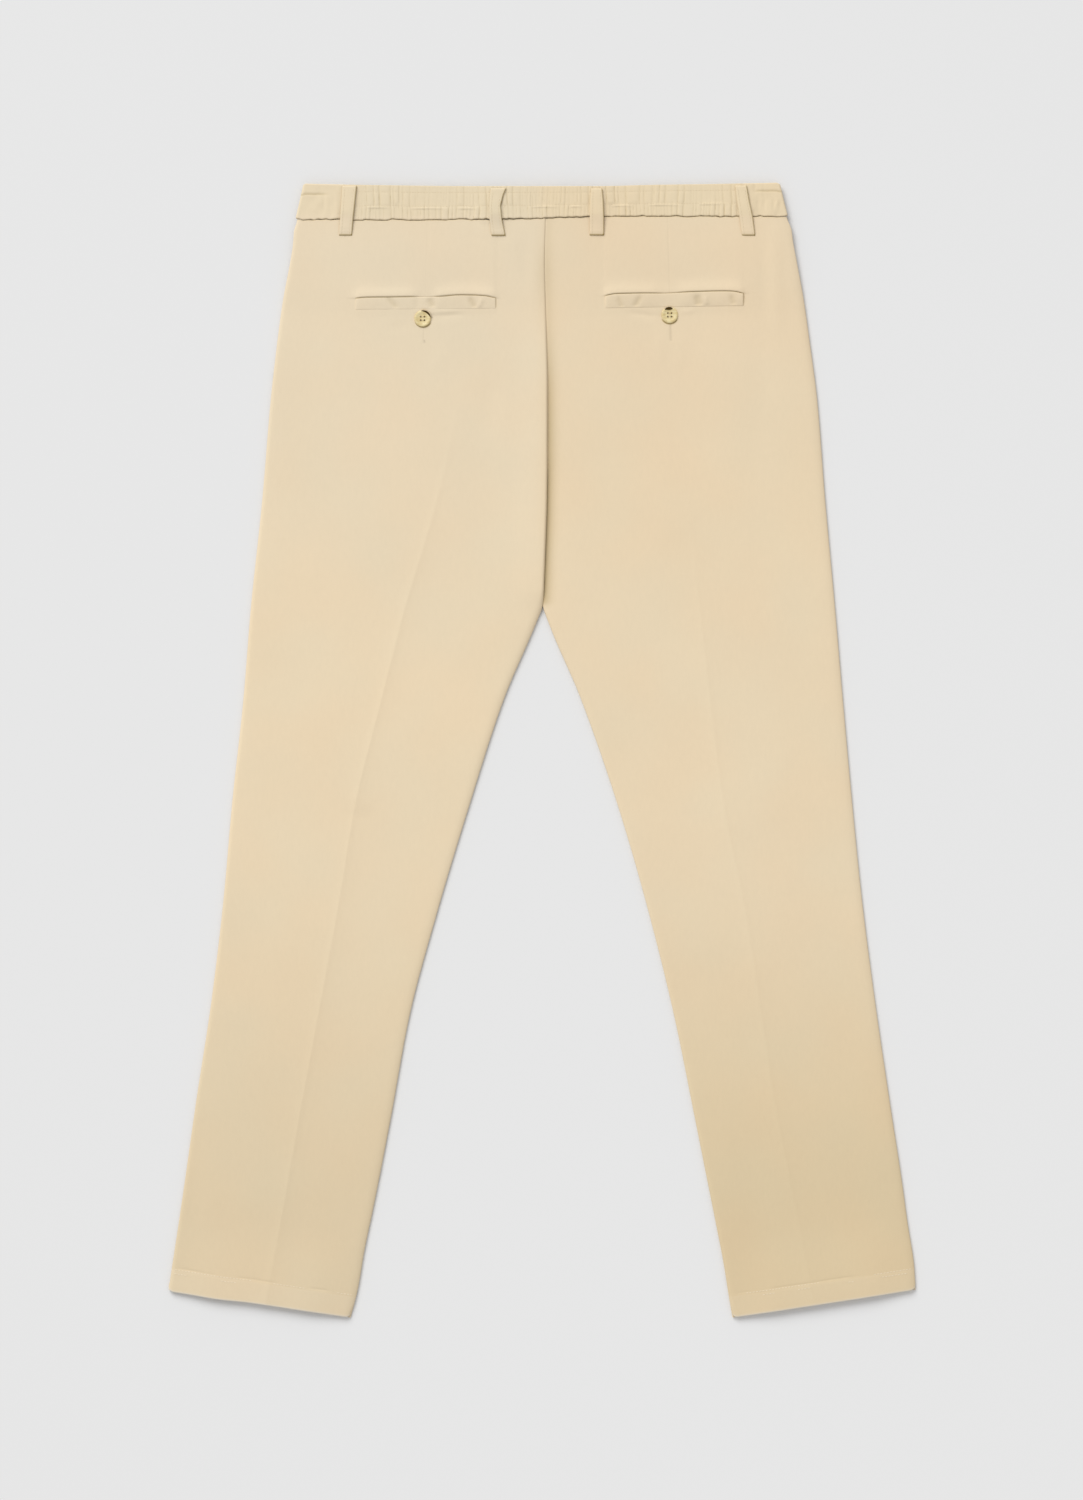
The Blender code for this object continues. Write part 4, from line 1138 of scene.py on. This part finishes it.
def loop_surface(name, y, across):
    """Points of a belt loop's outer surface at heights y and shares of its width."""
    heights, lefts, rights = np.array(LOOPS[name]).T
    y, across = np.broadcast_arrays(y, across)
    left, right = np.interp(y, heights, lefts), np.interp(y, heights, rights)
    x = mix(left, right, across)
    foot_y, top_y = heights[0], heights[-1]
    share = (y - foot_y) / (top_y - foot_y)
    middle = (lefts + rights) / 2
    edge = np.minimum(across, 1 - across) * (right - left)
    end = np.minimum(y - foot_y, top_y - y)
    drop = 0.75 * fall(edge, 1.2) + fall(end, 1.5)
    drop = drop + 0.14 * bell(edge - 2.4, 0.7) + 0.14 * bell(y - foot_y - 5.6, 0.9)
    drop = drop + 0.5 * ramp(6, 0, y - foot_y) - 0.12 * soft_noise(x, y, 7, 15)
    if "front" in name:
        return stack(x, y, 0.15 * np.sin(math.pi * share) + drop)
    side = "left" if middle[0] < 0 else "right"
    corners = np.array([lefts[0], middle[0], rights[0]])
    foot_z = np.max(back_height(side, corners, foot_y + 4))
    z = LOOP_STAND + mix(foot_z, band_height(middle[-1]) + 0.7, ramp(0.15, 0.5, share))
    return stack(x, y, z + 0.4 * np.sin(math.pi * share) - drop)


def make_loop(name):
    foot_y, top_y = LOOPS[name][0][0], LOOPS[name][-1][0]
    way = 1 if "back" in name else -1
    y = levels(foot_y, 0.25, foot_y + 1.6, 0.6, foot_y + 7, 1.1, top_y - 1.6, 0.25, top_y)[:, None]
    wall = mix(LOOP_FOLD - 0.9, LOOP_CLOTH - 0.4, ramp(4, 6, np.minimum(y - foot_y, top_y - y)))
    from_left = LOOP_ACROSS * LOOP_WIDTH
    shade = 0.7 * bell(LOOP_WIDTH - from_left, 0.75) + 0.15 * bell(from_left, 0.5)
    shade = np.minimum(shade + 0.75 * bell(y - foot_y, 1.1), 0.9)
    points = loop_surface(name, y, LOOP_ACROSS)
    loop = make_cloth(f"belt_{name}", name, points, wall, way, shade=shade)
    heights = np.linspace(foot_y + 1.5, top_y - 1.5, 60)
    lines = [loop_surface(name, heights, share) + (0, 0, way * 0.03) for share in (0.2, 0.8)]
    return loop, make_stitches(f"belt_{name}_stitches", lines, pitch=2.8, length=2, radius=0.15)


# Back pockets


def welt_surface(side, share, across):
    """Points of a welt on the back panel, its edges turned in."""
    x0, y0, x1, y1 = POCKETS[side]
    share, across = np.broadcast_arrays(share, across)
    x = mix(x0, x1, share)
    height = 0.5 + across
    y = mix(y0, y1, share) + across * WELT_HEIGHT + welt_bow(side, share) * ramp(0.2, 1, height)
    up, before, after = height * WELT_HEIGHT, share * (x1 - x0), (1 - share) * (x1 - x0)
    tilt = WELT_TILT[side] * (1 - 0.8 * closed_part(side, x)) * ramp(-0.3, 0.9, height)
    z = back_height(side, x, y) + unevenness(x, y) + 0.3 + tilt * roll(before / 6)
    z = z - 0.3 * fall(up, 1) - 0.6 * fall(WELT_HEIGHT - up, 0.9)
    z = z - 0.3 * fall(before, 1) - (0.5 + 1.1 * tilt) * fall(after, 1.2)
    z = z + 1.8 * folds(x, y, PUCKERS) * ramp(0, 2.5, up)
    return stack(x, y, z + 0.08 * soft_noise(x, y, 9, 17))


def make_welt(side):
    ends = np.array([0, 0.001, 0.003, 0.006, 0.010])
    share = np.concatenate((ends, np.linspace(0.018, 0.982, 100), 1 - ends[::-1]))
    rows = np.array([0, 0.01, 0.035, 0.07, 0.12, 0.17, 0.22, 0.3, 0.4, 0.5])
    across = (np.concatenate((rows, 1 - rows[-2::-1])) - 0.5)[:, None]
    points = welt_surface(side, share, across)
    # Painted shade in the puckers, in the pocket's slit and at the welt's outer end
    pucker = np.clip(-0.35 * folds(points[..., 0], points[..., 1], PUCKERS), 0, 0.14)
    slit = 0.5 * bell((0.5 - across) * WELT_HEIGHT, 0.35) * (1 - closed_part(side, points[..., 0]))
    shade = slit + 0.3 * bell((1 - share) * WELT_LENGTH, 0.5) + pucker
    return make_cloth(f"pocket_welt_{side}", f"welt_{side}", points, 1, 1, shade=shade)


# Buttons

BUTTON_PROFILE = (
    # radius and height, from the middle of the face round the rim to the middle of the back
    (0, 1.42), (1.5, 1.43), (3, 1.47), (4.1, 1.56), (4.8, 1.72), (5.3, 1.90), (5.8, 2.02),
    (6.3, 2.06), (6.8, 2.02), (7.2, 1.88), (7.5, 1.62), (7.6, 1.3), (7.6, 0.9), (7.4, 0.55),
    (6.9, 0.25), (6.2, 0.05), (0, 0),
)
HOLE_PROFILE = ((0, 4), (0.9, 4), (0.9, -4), (0, -4))
HOLE_PITCH = 3.3
BUTTON_TOP = 2.06
BUTTON_FACE = 1.45
BUTTON_SINK = 1                 # how far a back button settles into the cloth
# How far the back buttons lie from their places in the CAD
BUTTON_SHIFTS = {"button_pocket_left": (-0.7, 0.6), "button_pocket_right": (-0.6, 1.1)}
HOLES = [(dx * HOLE_PITCH / 2, dy * HOLE_PITCH / 2) for dx in (-1, 1) for dy in (-1, 1)]


def turned(profile, segments):
    """Vertices and faces of a turned body, whose profile starts and ends on its axis."""
    angles = 2 * math.pi * np.arange(segments) / segments
    vertices, rings = [], []
    for radius, height in profile:
        ring = angles if radius > 0 else angles[:1]
        rings.append(len(vertices) + np.arange(segments) % len(ring))
        vertices += [(radius * math.cos(angle), radius * math.sin(angle), height) for angle in ring]
    faces = []
    for upper, lower in zip(rings, rings[1:]):
        for a, b, c, d in zip(upper, lower, np.roll(lower, -1), np.roll(upper, -1)):
            faces.append(list(dict.fromkeys((int(a), int(b), int(c), int(d)))))
    return vertices, faces


def drilled_button():
    """The mesh of a button at the origin, with its four thread holes."""
    body = add("body", make_mesh(*turned(BUTTON_PROFILE, 56)))
    holes = [add("hole", make_mesh(*turned(HOLE_PROFILE, 20))) for _ in HOLES]
    for hole, (x, y) in zip(holes, HOLES):
        hole.location = (x * MM, y * MM, 0)
        body.modifiers.new("hole", "BOOLEAN").object = hole
    bpy.context.view_layer.update()
    mesh = bpy.data.meshes.new_from_object(body.evaluated_get(bpy.context.evaluated_depsgraph_get()))
    for obj in (body, *holes):
        bpy.data.objects.remove(obj, do_unlink=True)
    return mesh


def make_button(node):
    """A horn button in its node's place and the thread through its holes."""
    low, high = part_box(node)
    on_back = node in BUTTON_SHIFTS
    dx, dy = BUTTON_SHIFTS.get(node, (0, 0))
    middle = (low + high) / 2
    x, y = middle.x / MM + dx, middle.y / MM + dy
    z = low.z / MM - BUTTON_SINK if on_back else high.z / MM
    mesh = drilled_button()
    turn = Matrix.Rotation(0 if on_back else math.pi, 4, "X")
    mesh.transform(Matrix.Translation((x * MM, y * MM, z * MM)) @ turn)
    button = make_piece(node.replace("button", "horn_button"), mesh, HORN, node, 40)
    face, way = (z + BUTTON_FACE, 1) if on_back else (low.z / MM + 1, -1)
    shares = np.linspace(-0.5, 0.5, 7)
    height = face + way * (0.1 - 0.4 * (2 * shares) ** 8)
    lines = [stack(x + HOLE_PITCH * shares, y + dy, height) for dy in (-HOLE_PITCH / 2, HOLE_PITCH / 2)]
    thread = make_stitches(f"{node}_thread", lines, pitch=10, length=2, radius=0.2)
    return button, thread


# Mouths of the buttonholes, each a dark sheet of painted shadow in a slit seen over the rim of its button:
# points x, y and half width
BUTTONHOLES = {
    "left": (
        (-110.2, 405.6, 0.2), (-108.2, 405.5, 0.6), (-106, 404.8, 0.85), (-104, 403.4, 0.9),
        (-102.6, 401.6, 0.7), (-101.7, 399.9, 0.2),
    ),
    "right": (
        (114.3, 406.7, 0.3), (115.6, 407.5, 1), (117.6, 407.9, 1.35), (119.6, 407.9, 1.2),
        (121.2, 407.4, 0.3),
    ),
}


def make_buttonhole(side):
    """A dark sheet of painted shadow in the mouth of a buttonhole, which rides over the button's rim, and
    its sewn edge.
    """
    z0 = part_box(f"button_pocket_{side}")[0].z / MM - BUTTON_SINK + BUTTON_TOP
    table = np.array(BUTTONHOLES[side]).T
    x, y, half = (np.interp(np.linspace(0, 1, 25), np.linspace(0, 1, len(row)), row) for row in table)
    dx, dy = np.gradient(x), np.gradient(y)
    out_x, out_y = -dy / np.hypot(dx, dy), dx / np.hypot(dx, dy)
    section = ((1, -0.5), (1, 0.02), (0.6, 0.14), (0, 0.18), (-0.6, 0.14), (-1, 0.02), (-1, -0.5))
    rows = [stack(x + out_x * half * across, y + out_y * half * across, z0 + z) for across, z in section]
    # A dark sheet of painted shadow in the slit
    mouth = make_cloth(f"buttonhole_shadow_sheet_{side}", None, np.array(rows), 0.15, 1, PAINTED_BUTTONHOLE_SHADOW)
    rim = stack(x + out_x * (half + 0.35), y + out_y * (half + 0.35), z0 - 0.05)
    edge = make_stitches(f"buttonhole_edge_{side}", [rim], pitch=0.45, length=1, radius=0.25, turned=True)
    return mouth, edge


# Everything


def make_trousers():
    gathered, gathered_stitches = make_back_band()
    for side in SIDES:
        panel, stitches = make_back(side)
        welt = make_welt(side)
        mouth, edge = make_buttonhole(side)
        front, sewn = make_front(side)
        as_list(sewn)
        facing = make_facing(side)
        band, band_stitches = make_front_band(side)
    for name in LOOPS:
        loop, stitches = make_loop(name)
    for node in (*BUTTON_SHIFTS, "button_waist"):
        make_button(node)


# Floor, light and camera

FLOOR_HALF = 6000
FLOOR_Z = -0.2
FLOOR_LEVEL, FLOOR_ACROSS, FLOOR_ALONG = 0.793, 0.000036, -0.000068
KEY_DISTANCE = 8.3
KEY_AZIMUTH = math.radians(119)     # from +X towards +Y
KEY_ELEVATION = math.radians(38)
KEY_SIZE = 5.6
KEY_POWER = 500
AMBIENT = 0.60
CAMERA_PLACE = (0.00046, 0.00092, 3.845)


def make_floor():
    graph = Graph("pale_floor")
    x, y = graph.axes()
    level = y * FLOOR_ALONG + FLOOR_LEVEL + x * FLOOR_ACROSS + (graph.noise(4) - 0.5) * 0.004
    colour = graph.node("CombineColor", {"Red": level, "Green": level, "Blue": level})[0]
    material = graph.finish(colour, None, {"Roughness": 0.95, "Specular IOR Level": 0})
    corners = [(x * FLOOR_HALF, y * FLOOR_HALF, FLOOR_Z) for x, y in ((-1, -1), (1, -1), (1, 1), (-1, 1))]
    floor = add("floor", make_mesh(corners, [range(4)]))
    floor.data.materials.append(material)


def make_light():
    world = bpy.data.worlds.new("studio")
    world.use_nodes = True
    background = world.node_tree.nodes["Background"]
    background.inputs["Color"].default_value = (1, 1, 1, 1)
    background.inputs["Strength"].default_value = AMBIENT
    bpy.context.scene.world = world
    light = bpy.data.lights.new("key", "AREA")
    light.shape = "DISK"
    light.size = KEY_SIZE
    light.energy = KEY_POWER
    key = add("key", light)
    key.location = Euler((0, -KEY_ELEVATION, KEY_AZIMUTH)).to_matrix() @ Vector((KEY_DISTANCE, 0, 0))
    key.rotation_mode = "QUATERNION"
    key.rotation_quaternion = key.location.to_track_quat("Z", "Y")
    key.visible_camera = False


def make_camera():
    camera = bpy.data.cameras.new("camera")
    camera.lens = 100
    camera.sensor_width = 36
    camera.clip_end = 50
    bpy.context.scene.camera = add("camera", camera)
    bpy.context.scene.camera.location = CAMERA_PLACE


make_camera()
make_floor()
make_light()
make_trousers()
bpy.context.scene.view_settings.view_transform = "Standard"
bpy.context.scene.view_settings.look = "None"
